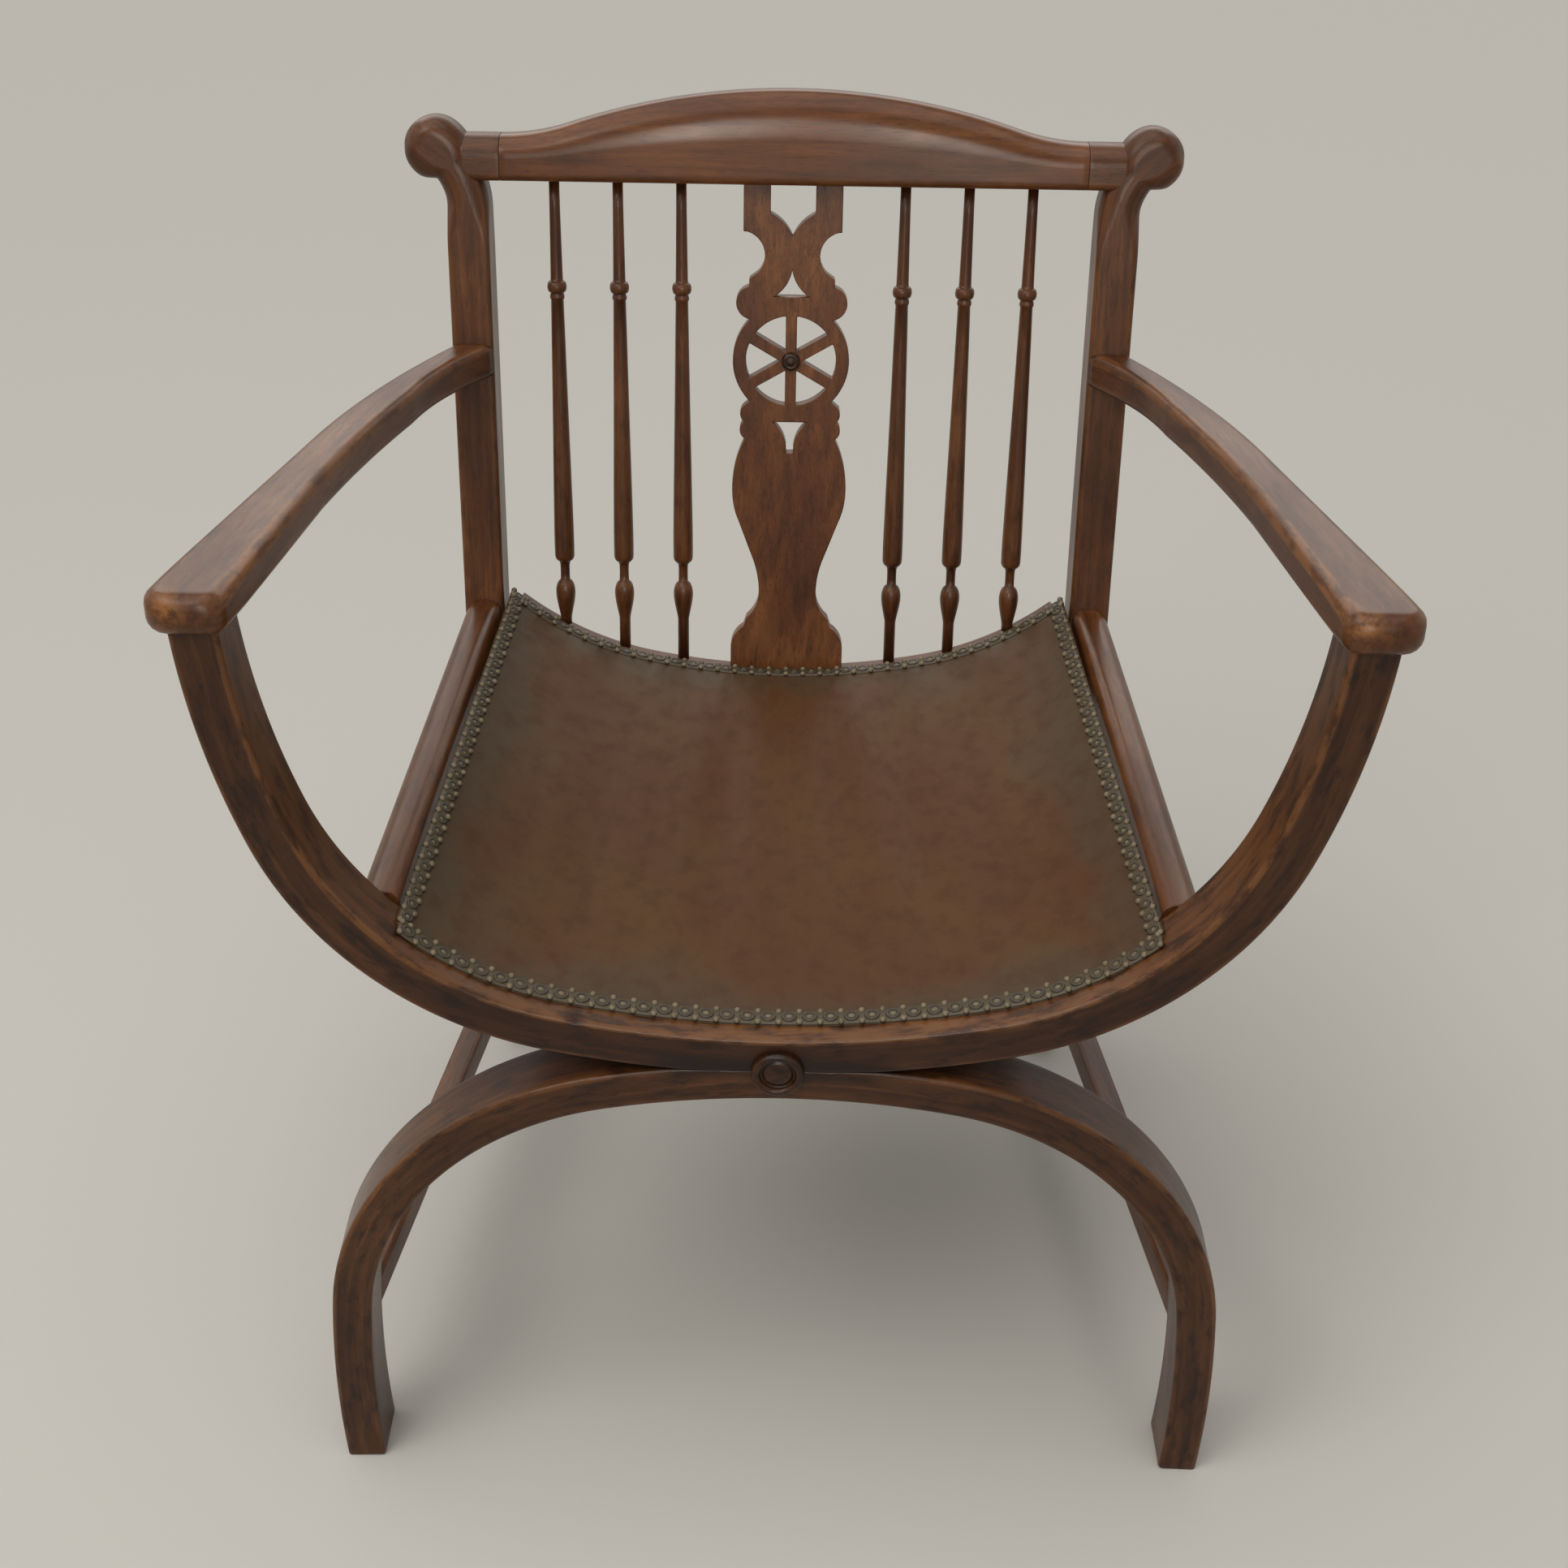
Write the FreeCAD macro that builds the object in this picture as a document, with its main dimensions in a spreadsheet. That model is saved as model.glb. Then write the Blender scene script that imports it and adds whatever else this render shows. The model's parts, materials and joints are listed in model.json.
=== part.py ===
import FreeCAD, Part
import math
import os
import Sketcher

# An open armchair with a curved X-frame front, a joined spindle back and a dished leather seat.
# Millimetres. +Z is up, +Y runs to the back, and +X is to the right as seen from the front.
# The origin is on the floor, in the middle of the chair's width and depth.

SIZES = {
    # Front frame: a bow from arm to arm and an arched leg, joined on a flat where they cross
    "crossing_height": 342.0,
    "crossing_lap": 3.25,
    "frame_depth": 40.0,
    "bow_thickness": 26.0,
    "bow_base_radius": 597.0,
    "bow_base_angle": 13.2,
    "bow_haunch_radius": 215.0,
    "bow_haunch_angle": 58.3,
    "bow_arm_radius": 486.0,
    "arch_thickness": 25.0,
    "arch_crown_radius": 531.0,
    "arch_crown_angle": 11.7,
    "arch_haunch_radius": 218.0,
    "arch_haunch_angle": 72.4,
    "arch_leg_radius": 905.0,
    # Fits and loose pins
    "joint_clearance": 0.15,
    "dowel_radius": 4.5,
    "dowel_reach": 12.0,
    "crossing_dowel_spread": 34.0,
    # Turned boss on the crossing
    "boss_radius": 15.5,
    "boss_proud": 5.0,
    "boss_rim_width": 5.0,
    "boss_dish": 2.0,
    "boss_spigot_radius": 5.0,
    "boss_spigot_length": 14.0,
    # Back posts, each in one piece with its rear leg and its ear
    "seat_height": 441.0,
    "seat_depth": 417.0,
    "recline_angle": 8.5,
    "post_offset": 216.5,
    "post_width": 28.0,
    "post_front": 19.0,
    "post_back": 14.0,
    "post_bend_drop": 62.0,
    "rear_foot_depth": 30.0,
    "rear_leg_rake": 32.0,
    "ear_radius": 21.0,
    "ear_offset": 20.0,
    "ear_height": 304.0,
    "ear_round": 12.0,
    "head_reach": 8.5,
    # Crest rail between the post heads
    "crest_height": 284.7,
    "crest_end_height": 28.7,
    "crest_rise": 30.9,
    "crest_saddle_radius": 144.0,
    "crest_front": 18.0,
    "crest_back": 13.0,
    "crest_round": 8.0,
    "crest_tenon_length": 16.0,
    "crest_tenon_thickness": 11.0,
    "crest_tenon_height": 18.0,
    # Rear seat rail, dipping in the middle
    "rear_rail_dip": 61.2,
    "rear_rail_base_radius": 500.0,
    "rear_rail_base_angle": 11.2,
    "rear_rail_haunch_radius": 220.0,
    "rear_rail_height": 45.0,
    "rear_rail_set_back": 0.5,
    "rear_rail_back": 6.0,
    "rear_tenon_length": 15.0,
    "rear_tenon_thickness": 9.0,
    "rear_tenon_height": 26.0,
    "rear_tenon_drop": 31.0,
    # Side seat rails, with a rounded crown outside and a ledge for the leather inside
    "side_rail_width": 40.0,
    "side_rail_height": 42.0,
    "side_rail_crown": 25.0,
    "side_rail_round": 11.0,
    "side_rail_step": 4.0,
    "side_rail_fall": 11.0,
    "side_rail_front_reach": 244.5,
    "side_rail_rear_inset": 1.0,
    "side_rail_rise": 12.0,
    "side_tenon_width": 10.0,
    "side_tenon_height": 13.0,
    "side_tenon_length": 11.0,
    # Arms
    "arm_height": 627.0,
    "arm_slope_angle": 4.2,
    "arm_thickness": 23.0,
    "arm_front_width": 43.0,
    "arm_side_overhang": 10.5,
    "arm_front_overhang": 7.0,
    "arm_outer_corner": 14.0,
    "arm_inner_corner": 10.0,
    "arm_outer_bend": 220.0,
    "arm_outer_bend_inset": 36.0,
    "arm_outer_radius": 760.0,
    "arm_inner_bend": 170.0,
    "arm_inner_bend_inset": 15.5,
    "arm_waist": 322.0,
    "arm_waist_inset": 43.5,
    "arm_inner_radius": 1350.0,
    "arm_rear_radius": 260.0,
    "arm_tenon_width": 12.0,
    "arm_tenon_height": 11.0,
    "arm_tenon_length": 13.0,
    # Low stretchers
    "stretcher_height": 112.0,
    "stretcher_width": 17.0,
    "stretcher_depth": 22.0,
    "stretcher_front_inset": 2.5,
    "stretcher_rear_inset": 1.0,
    "stretcher_tenon_radius": 6.0,
    "stretcher_tenon_length": 12.0,
    # Turned spindles
    "spindle_first": 75.0,
    "spindle_pitch": 42.5,
    "spindle_top_radius": 3.5,
    "spindle_bead_radius": 5.0,
    "spindle_bead_height": 213.0,
    "spindle_bead_length": 8.0,
    "spindle_neck_radius": 4.3,
    "spindle_swell_radius": 7.0,
    "spindle_swell_height": 40.0,
    "spindle_shoulder_height": 21.0,
    "spindle_shoulder_fall": 3.0,
    "spindle_pin_radius": 3.4,
    "spindle_bulb_top": 4.0,
    "spindle_bulb_length": 28.0,
    "spindle_bulb_radius": 32.0,
    "spindle_tail_radius": 4.1,
    "spindle_tenon_length": 12.0,
    # Pierced splat
    "splat_thickness": 11.0,
    "splat_tenon_thickness": 7.0,
    "splat_tenon_length": 10.0,
    "splat_tenon_half_width": 28.0,
    "wheel_height": 165.5,
    "wheel_radius": 40.0,
    "wheel_rim": 9.0,
    "spoke_width": 7.7,
    "button_radius": 6.5,
    "button_proud": 4.0,
    "button_spigot_radius": 3.0,
    "tongue_outer": 33.2,
    "tongue_inner": 15.1,
    "tongue_shoulder_height": 265.2,
    "fork_height": 249.6,
    "fork_radius": 30.0,
    "ledge_height": 252.7,
    "ledge_inset": 2.3,
    "notch_end_half_width": 23.2,
    "notch_end_height": 225.6,
    "notch_radius": 16.3,
    "collar_half_width": 29.1,
    "collar_height": 221.3,
    "collar_depth": 5.0,
    "scroll_radius": 11.5,
    "piercing_half_width": 12.2,
    "piercing_apex": 227.2,
    "piercing_base": 209.3,
    "piercing_radius": 26.0,
    "keyhole_top": 122.7,
    "keyhole_neck": 106.0,
    "keyhole_end": 100.7,
    "keyhole_stem_half_width": 2.5,
    "bead_half_width": 32.2,
    "bead_top": 134.5,
    "bead_middle": 122.7,
    "bead_bottom": 110.5,
    "splat_bead_radius": 7.5,
    "shoulder_half_width": 31.4,
    "belly_half_width": 40.0,
    "belly_height": 73.0,
    "belly_upper_radius": 78.0,
    "belly_lower_half_width": 35.3,
    "belly_lower_height": 50.5,
    "belly_lower_radius": 56.0,
    "throat_half_width": 24.3,
    "throat_height": 20.8,
    "throat_radius": 73.0,
    "waist_half_width": 20.5,
    "waist_height": -2.5,
    "ankle_half_width": 29.3,
    "ankle_height": -21.9,
    "ankle_radius": 25.8,
    "step_half_width": 31.6,
    "step_height": -28.9,
    "plinth_half_width": 40.5,
    "plinth_height": -45.0,
    "plinth_radius": 19.0,
    # Seat upholstery: layers that follow the bow in front and the rear rail behind
    "seat_rebate": 4.5,
    "seat_headroom": 30.0,
    "leather_thickness": 2.2,
    "leather_front_inset": 14.0,
    "leather_rear_inset": 9.5,
    "leather_edge_gap": 1.0,
    "leather_corner_gap": 5.0,
    "layer_gap": 0.3,
    "strap_width": 36.0,
    "strap_thickness": 1.0,
    "strap_slack": 1.2,
    "strap_front_pitch": 54.0,
    "strap_rear_pitch": 42.0,
    "strap_front_inset": 18.0,
    "strap_rear_inset": 11.5,
    "gimp_width": 12.0,
    "gimp_thickness": 1.5,
    "gimp_side_run": 9.0,
}

document = FreeCAD.newDocument("x_frame_armchair")
sizes_sheet = document.addObject("Spreadsheet::Sheet", "sizes")
workings_sheet = document.addObject("Spreadsheet::Sheet", "workings")
nodes = []


class Size:
    """A length or an angle in degrees, with the sheet formula that gives it."""

    def __init__(self, value, formula):
        self.value = float(value)
        self.formula = formula

    def __add__(self, other):
        other = as_size(other)
        return Size(self.value + other.value, f"({self.formula} + {other.formula})")

    def __sub__(self, other):
        other = as_size(other)
        return Size(self.value - other.value, f"({self.formula} - {other.formula})")

    def __mul__(self, other):
        other = as_size(other)
        return Size(self.value * other.value, f"({self.formula} * {other.formula})")

    def __truediv__(self, other):
        other = as_size(other)
        return Size(self.value / other.value, f"({self.formula} / {other.formula})")

    def __neg__(self):
        return Size(-self.value, f"(-1 * {self.formula})")

    def __rmul__(self, other):
        return as_size(other) * self

    def __rsub__(self, other):
        return as_size(other) - self


def as_size(thing):
    return thing if isinstance(thing, Size) else Size(thing, f"({thing!r})")


def sine(angle):
    angle = as_size(angle)
    return Size(math.sin(math.radians(angle.value)), f"sin({angle.formula})")


def cosine(angle):
    angle = as_size(angle)
    return Size(math.cos(math.radians(angle.value)), f"cos({angle.formula})")


def root(square):
    return Size(math.sqrt(square.value), f"sqrt({square.formula})")


def slant(rise, run):
    """The angle of a slope, in degrees."""
    ratio = rise / run
    return Size(math.degrees(math.atan(ratio.value)), f"(atan({ratio.formula}) / 1 deg)")


def larger(one, other):
    return Size(max(one.value, other.value), f"max({one.formula}; {other.formula})")


def fill_sheet():
    """Put each driving size in a cell of its own and give back the sizes by name."""
    found = {}
    for row, (name, value) in enumerate(SIZES.items(), start=1):
        sizes_sheet.set(f"A{row}", name.replace("_", " "))
        sizes_sheet.set(f"B{row}", repr(value))
        sizes_sheet.setAlias(f"B{row}", name)
        found[name] = Size(value, f"sizes.{name}")
    return found


derived_names = []


def derive(name, size):
    """Keep a worked-out size in a cell, so that what uses it reads a short formula."""
    derived_names.append(name)
    cell = f"B{len(derived_names)}"
    workings_sheet.set(cell, f"={size.formula}")
    workings_sheet.setAlias(cell, name)
    return Size(size.value, f"workings.{name}")


class Namespace:
    """The driving sizes as attributes."""

    def __init__(self, found):
        self.__dict__.update(found)


s = Namespace(fill_sheet())
ZERO = Size(0.0, "0")
HALF_TURN = 180.0
QUARTER_TURN = 90.0
LEFT = -1.0
RIGHT = 1.0
SIDES = {"left": LEFT, "right": RIGHT}
SPINDLES_EACH_SIDE = 3
STRAPS_EACH_SIDE = 3


class Frame:
    """A place to build in: a base point and a turn about one axis."""

    def __init__(self, base, axis=(1, 0, 0), angle=ZERO):
        self.base = base
        self.axis = FreeCAD.Vector(*axis)
        self.angle = angle

    def point(self, x, y, z):
        """The chair's own coordinates of a point given in this frame."""
        x, y, z = as_size(x), as_size(y), as_size(z)
        across, along = cosine(self.angle), sine(self.angle)
        base_x, base_y, base_z = self.base
        if self.axis.x:
            return base_x + x, base_y + y * across - z * along, base_z + y * along + z * across
        return base_x + x * across - y * along, base_y + x * along + y * across, base_z + z

    def at(self, x, y, z):
        """The same turn, moved to a point of this frame."""
        return Frame(self.point(x, y, z), self.axis, self.angle)


def place(thing, frame):
    """Put a piece in a frame, with its base point and its turn read from the sheets."""
    base = FreeCAD.Vector(*(size.value for size in frame.base))
    thing.Placement = FreeCAD.Placement(base, FreeCAD.Rotation(frame.axis, frame.angle.value))
    for letter, size in zip("xyz", frame.base):
        thing.setExpression(f"Placement.Base.{letter}", size.formula)
    thing.setExpression("Placement.Rotation.Angle", frame.angle.formula)


def arc_between(start, end, radius, turn):
    """The shorter arc from start to end: turn is 1 when it runs anticlockwise and -1 when clockwise."""
    chord = end - start
    middle = (start + end) * 0.5
    across = FreeCAD.Vector(-chord.y, chord.x, 0).normalize()
    height = math.sqrt(max(radius * radius - chord.Length ** 2 / 4, 0.0))
    centre = middle + across * (height * turn)
    first, last = (start, end) if turn > 0 else (end, start)
    angles = [math.atan2(spot.y - centre.y, spot.x - centre.x) for spot in (first, last)]
    if angles[1] < angles[0]:
        angles[1] += 2 * math.pi
    return Part.ArcOfCircle(Part.Circle(centre, FreeCAD.Vector(0, 0, 1), radius), *angles)


def draw(sketch, corners):
    """Draw one closed outline. A corner is x, y and None, or the radius and turn of its arc to the next."""
    corners = [(as_size(x), as_size(y), arc) for x, y, arc in corners]
    first = sketch.GeometryCount
    edges, starts, ends = [], [], []
    for index, (x, y, arc) in enumerate(corners):
        next_x, next_y, unused = corners[(index + 1) % len(corners)]
        start = FreeCAD.Vector(x.value, y.value, 0)
        end = FreeCAD.Vector(next_x.value, next_y.value, 0)
        if arc is None:
            edges.append(Part.LineSegment(start, end))
            forward = True
        else:
            edges.append(arc_between(start, end, arc[0].value, arc[1]))
            forward = arc[1] > 0
        starts.append(1 if forward else 2)
        ends.append(2 if forward else 1)
    sketch.addGeometry(edges, False)
    rules, formulas = [], []
    for index, (x, y, arc) in enumerate(corners):
        edge = first + index
        following = (index + 1) % len(corners)
        other = first + following
        rules.append(Sketcher.Constraint("Coincident", edge, ends[index], other, starts[following]))
        formulas.append(None)
        rules.append(Sketcher.Constraint("DistanceX", -1, 1, edge, starts[index], x.value))
        formulas.append(x.formula)
        rules.append(Sketcher.Constraint("DistanceY", -1, 1, edge, starts[index], y.value))
        formulas.append(y.formula)
        if arc is not None:
            rules.append(Sketcher.Constraint("Radius", edge, arc[0].value))
            formulas.append(arc[0].formula)
    offset = sketch.ConstraintCount
    sketch.addConstraint(rules)
    for index, formula in enumerate(formulas):
        if formula is not None:
            name = f"size_{offset + index}"
            sketch.renameConstraint(offset + index, name)
            sketch.setExpression(f"Constraints.{name}", formula)


def mirrored(half, closing):
    """A whole outline from its right half, listed anticlockwise. closing is the arc back to its start."""
    whole = list(half)
    for index in range(len(half) - 1, -1, -1):
        x, y, unused = half[index]
        arc = half[index - 1][2] if index else closing
        whole.append((-x, y, arc))
    return whole


def start_body(label, frame):
    body = document.addObject("PartDesign::Body", label)
    body.Label = label
    place(body, frame)
    return body


def sketch_on(body, role):
    sketch = body.newObject("Sketcher::SketchObject", f"{body.Name}_outline")
    plane = [feature for feature in body.Origin.OriginFeatures if feature.Role == role][0]
    sketch.AttachmentSupport = (plane, [""])
    sketch.MapMode = "FlatFace"
    return sketch


def board(label, role, outlines, thickness, frame, centred=False):
    """A flat piece: outlines on one of its own planes, carried through its thickness."""
    body = start_body(label, frame)
    sketch = sketch_on(body, role)
    for outline in outlines:
        draw(sketch, outline)
    pad = body.newObject("PartDesign::Pad", f"{label}_thickness")
    pad.Profile = sketch
    pad.setExpression("Length", thickness.formula)
    pad.Midplane = centred
    pad.Reversed = role == "XZ_Plane" and not centred
    return body


def turning(label, outline, frame):
    """A turned piece: a half profile drawn beside its own upright axis."""
    body = start_body(label, frame)
    sketch = sketch_on(body, "XZ_Plane")
    draw(sketch, outline)
    spin = body.newObject("PartDesign::Revolution", f"{label}_turned")
    spin.Profile = sketch
    spin.ReferenceAxis = (sketch, ["V_Axis"])
    spin.Angle = 2 * HALF_TURN
    return body


def block(label, frame, low, high):
    """A straight block between two corners of a frame."""
    box = document.addObject("Part::Box", label)
    spans = [as_size(top) - as_size(bottom) for bottom, top in zip(low, high)]
    for side, span in zip(("Length", "Width", "Height"), spans):
        setattr(box, side, span.value)
        box.setExpression(side, span.formula)
    place(box, frame.at(*low))
    return box


def grown(low, high, gap):
    """The corners of a block with a gap all round."""
    return [as_size(size) - gap for size in low], [as_size(size) + gap for size in high]


def peg(label, frame, radius, length):
    """A round pin from a frame's base along its own Z."""
    pin = document.addObject("Part::Cylinder", label)
    pin.setExpression("Radius", radius.formula)
    pin.setExpression("Height", length.formula)
    place(pin, frame)
    return pin


def joined(label, pieces):
    whole = document.addObject("Part::MultiFuse", label)
    whole.Shapes = pieces
    whole.Label = label
    return whole


def carved(label, piece, tools):
    """A piece with the tools' space taken out of it."""
    cut = document.addObject("Part::Cut", label)
    cut.Base = piece
    cut.Tool = tools[0] if len(tools) == 1 else joined(f"{label}_tools", tools)
    cut.Label = label
    return cut


def keep(piece, label):
    """Name a finished sub-part."""
    piece.Label = label
    nodes.append(piece)
    return piece


# Curves made of tangent arcs, for the bow, the leg arch and the rear rail

class Chain:
    """Arcs that leave the middle level and turn up (rise 1) or down (rise -1), with their centres."""

    def __init__(self, name, low, rise, radii, angles):
        self.rise = rise
        self.radii = radii
        self.bends = []
        self.centres = [(ZERO, derive(f"{name}_centre_a", low + rise * radii[0]))]
        bend = ZERO
        for index, angle in enumerate(angles):
            bend = derive(f"{name}_bend_{'abc'[index]}", bend + angle)
            self.bends.append(bend)
            x, z = self.centres[-1]
            shift = radii[index] - radii[index + 1]
            letter = "bcd"[index]
            next_x = derive(f"{name}_across_{letter}", x + shift * sine(bend))
            next_z = derive(f"{name}_centre_{letter}", z - rise * shift * cosine(bend))
            self.centres.append((next_x, next_z))

    def at_bend(self, arc, bend, inset=ZERO):
        """The point of one arc at a bend from the middle, on a curve inset towards the centre."""
        x, z = self.centres[arc]
        radius = self.radii[arc] - inset
        return x + radius * sine(bend), z - self.rise * radius * cosine(bend)

    def joint(self, index, inset=ZERO):
        return self.at_bend(index, self.bends[index], inset)

    def height(self, across, inset=ZERO):
        """Height of the curve at a distance from the middle."""
        across = as_size(across)
        arc = 0 if abs(across.value) <= self.joint(0, inset)[0].value else 1
        x, z = self.centres[arc]
        reach = (across if across.value >= 0 else -across) - x
        radius = self.radii[arc] - inset
        return z - self.rise * root(radius * radius - reach * reach)

    def arc(self, index, turn, inset=ZERO):
        return (self.radii[index] - inset, turn)


# Main places, worked out from the driving sizes
front_reach = larger(s.arm_front_overhang, s.boss_proud)


def reach_behind(depth, height, rounding):
    """How far a rounded top edge reaches behind the seat line, from its place in the leaning back."""
    across, along = cosine(s.recline_angle), sine(s.recline_angle)
    return rounding + (depth - rounding) * across + (height - rounding) * along


crest_top = derive("crest_top", s.crest_height + s.crest_end_height + s.crest_rise)
back_reach = larger(reach_behind(s.post_back, s.ear_height + s.ear_radius, s.ear_round),
                    reach_behind(s.crest_back, crest_top, s.crest_round))
whole_depth = front_reach + s.seat_depth + back_reach
front_y = derive("front_y", front_reach - whole_depth / 2)
back_y = derive("back_y", front_y + s.seat_depth)
frame_back_y = derive("frame_back_y", front_y + s.frame_depth)

floor = Frame((ZERO, ZERO, ZERO))
front = Frame((ZERO, front_y, ZERO))
back = Frame((ZERO, back_y, s.seat_height), angle=derive("back_turn", -s.recline_angle))
arms = Frame((ZERO, front_y, s.arm_height), angle=derive("arm_turn", -s.arm_slope_angle))

bow = Chain("bow", s.crossing_height - s.crossing_lap, 1.0,
            (s.bow_base_radius, s.bow_haunch_radius, s.bow_arm_radius),
            (s.bow_base_angle, s.bow_haunch_angle))
arch = Chain("arch", s.crossing_height + s.crossing_lap, -1.0,
             (s.arch_crown_radius, s.arch_haunch_radius, s.arch_leg_radius),
             (s.arch_crown_angle, s.arch_haunch_angle))
rear = Chain("rear_rail", -s.rear_rail_dip, 1.0,
             (s.rear_rail_base_radius, s.rear_rail_haunch_radius),
             (s.rear_rail_base_angle,))

bow_half_width = derive("bow_half_width", bow.centres[2][0] + s.bow_arm_radius)
bow_top_x = derive("bow_top_x", bow_half_width - s.bow_thickness / 2)
post_inner = derive("post_inner", s.post_offset - s.post_width / 2)
post_outer = derive("post_outer", s.post_offset + s.post_width / 2)
rear_rail_front = derive("rear_rail_front", s.post_front - s.rear_rail_set_back)
head_top = derive("head_top", s.crest_height + s.crest_end_height)
shaft_top = derive("shaft_top", head_top - s.crest_round)
crest_half = derive("crest_half", post_inner - s.head_reach)
arm_fall = derive("arm_fall", s.recline_angle - s.arm_slope_angle)
arm_run = derive("arm_run", (s.seat_depth * cosine(s.recline_angle) - s.post_front
                             + (s.arm_height - s.seat_height) * sine(s.recline_angle)) / cosine(arm_fall))
whole_width = derive("whole_width", 2 * (bow_half_width + s.arm_side_overhang))


def mortise_gap(low, high):
    return grown(low, high, s.joint_clearance)


# Tenons, each given by the frame of the piece that carries it and two corners in that frame

def arm_tenon(side):
    middle = side * s.post_offset
    rise = (s.arm_thickness - s.arm_tenon_height) / 2
    low = (middle - s.arm_tenon_width / 2, arm_run - s.arm_tenon_length, rise)
    high = (middle + s.arm_tenon_width / 2, arm_run + s.arm_tenon_length, rise + s.arm_tenon_height)
    return low, high


def crest_tenon(side):
    depth = (s.crest_back - s.crest_front) / 2
    base = s.crest_height + (s.crest_end_height - s.crest_tenon_height) / 2
    inner, outer = crest_half - s.crest_tenon_length, crest_half + s.crest_tenon_length
    ends = (inner, outer) if side > 0 else (-outer, -inner)
    low = (ends[0], depth - s.crest_tenon_thickness / 2, base)
    high = (ends[1], depth + s.crest_tenon_thickness / 2, base + s.crest_tenon_height)
    return low, high


def rear_tenon(side):
    inner, outer = post_inner - s.rear_tenon_length, post_inner + s.rear_tenon_length
    ends = (inner, outer) if side > 0 else (-outer, -inner)
    front_face = s.rear_rail_back - s.rear_tenon_thickness - s.joint_clearance
    low = (ends[0], front_face, -s.rear_tenon_drop - s.rear_tenon_height / 2)
    high = (ends[1], front_face + s.rear_tenon_thickness, -s.rear_tenon_drop + s.rear_tenon_height / 2)
    return low, high


side_run = derive("side_run", s.seat_depth - s.frame_depth - s.post_front * cosine(s.recline_angle))
side_rear_reach = derive("side_rear_reach", post_outer - s.side_rail_rear_inset)
side_splay = derive("side_splay", slant(s.side_rail_front_reach - side_rear_reach, side_run))
side_tenon_x = s.side_rail_front_reach - s.side_tenon_width
side_tenon_z = derive("side_tenon_z", bow.height(side_tenon_x, s.bow_thickness / 2))
side_top = derive("side_top", side_tenon_z + s.side_rail_rise)


def side_frame(name, side):
    """Frame of a side rail: its base is the top outer edge at the back of the bow, and Y runs along it."""
    base = (side * s.side_rail_front_reach, frame_back_y, side_top)
    return Frame(base, (0, 0, 1), derive(f"side_turn_{name}", side * side_splay))


side_frames = {name: side_frame(name, side) for name, side in SIDES.items()}


def side_span(side, near, far):
    """Two X values in a side rail's frame, in rising order, at distances inward from its outer face."""
    return (-far, -near) if side > 0 else (near, far)


def side_tenons(side):
    """Corners of the front and the rear tenon of a side rail."""
    middle = s.side_rail_width / 2 - s.side_tenon_width / 2
    pairs = []
    for start, end, near in ((-s.side_tenon_length, s.side_tenon_length, s.side_tenon_width / 2),
                             (side_run - s.side_tenon_length, side_run + s.side_tenon_length, middle)):
        span = side_span(side, near, near + s.side_tenon_width)
        low = (span[0], start, -s.side_rail_rise - s.side_tenon_height / 2)
        high = (span[1], end, -s.side_rail_rise + s.side_tenon_height / 2)
        pairs.append((low, high))
    return pairs


def rear_leg_front():
    """Y of the front face of the rear legs at the height of the stretchers."""
    bend_y, bend_z = back.point(0, -s.post_front, -s.post_bend_drop)[1:]
    foot_y = back_y + s.rear_leg_rake - s.rear_foot_depth / 2
    return foot_y + (bend_y - foot_y) * s.stretcher_height / bend_z


def front_leg_middle():
    """X of the middle of the front leg at the height of the stretchers."""
    leg_x, leg_z = arch.centres[2]
    radius = s.arch_leg_radius - s.arch_thickness / 2
    reach = s.stretcher_height - leg_z
    return leg_x + root(radius * radius - reach * reach)


stretcher_front = derive("stretcher_front", front_leg_middle() - s.stretcher_front_inset)
stretcher_span = derive("stretcher_span", rear_leg_front() - frame_back_y)
stretcher_splay = derive("stretcher_splay", slant(stretcher_front - s.post_offset + s.stretcher_rear_inset,
                                                  stretcher_span))
stretcher_run = derive("stretcher_run", stretcher_span / cosine(stretcher_splay))


def stretcher_frame(name, side):
    base = (side * stretcher_front, frame_back_y, s.stretcher_height)
    return Frame(base, (0, 0, 1), derive(f"stretcher_turn_{name}", side * stretcher_splay))


stretcher_frames = {name: stretcher_frame(name, side) for name, side in SIDES.items()}


# Pegs and mortise tools that two pieces share

def boss_hole(label, gap):
    """The hole for the boss's spigot, half in the bow and half in the arch."""
    mouth = Frame((ZERO, front_y, s.crossing_height), (1, 0, 0), Size(-QUARTER_TURN, str(-QUARTER_TURN)))
    return peg(label, mouth, s.boss_spigot_radius + gap, s.boss_spigot_length + gap)


def crossing_pegs(label, gap):
    pegs = []
    for name, side in SIDES.items():
        base = floor.at(side * s.crossing_dowel_spread, front_y + s.frame_depth / 2,
                        s.crossing_height - s.dowel_reach - gap)
        pegs.append(peg(f"{label}_{name}", base, s.dowel_radius + gap, 2 * (s.dowel_reach + gap)))
    return pegs


def arm_peg(label, side, gap):
    base = arms.at(side * bow_top_x, s.frame_depth / 2, -s.dowel_reach - gap)
    return peg(label, base, s.dowel_radius + gap, 2 * (s.dowel_reach + gap))


def above_arms(label):
    """All the space above the underside of the arms."""
    reach = whole_width
    return block(label, arms, (-reach, -reach, ZERO), (reach, reach, reach))


def behind_posts(label):
    """All the space behind the front faces of the posts."""
    reach = whole_width
    return block(label, back, (-reach, -s.post_front, -reach), (reach, reach, reach))


def before_frame_back(label):
    """All the space in front of the back faces of the bow and the arch."""
    reach = whole_width
    return block(label, front, (-reach, -reach, -reach), (reach, s.frame_depth, reach))


# Seat sections, and the space that the bow and the rails are rebated for

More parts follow.
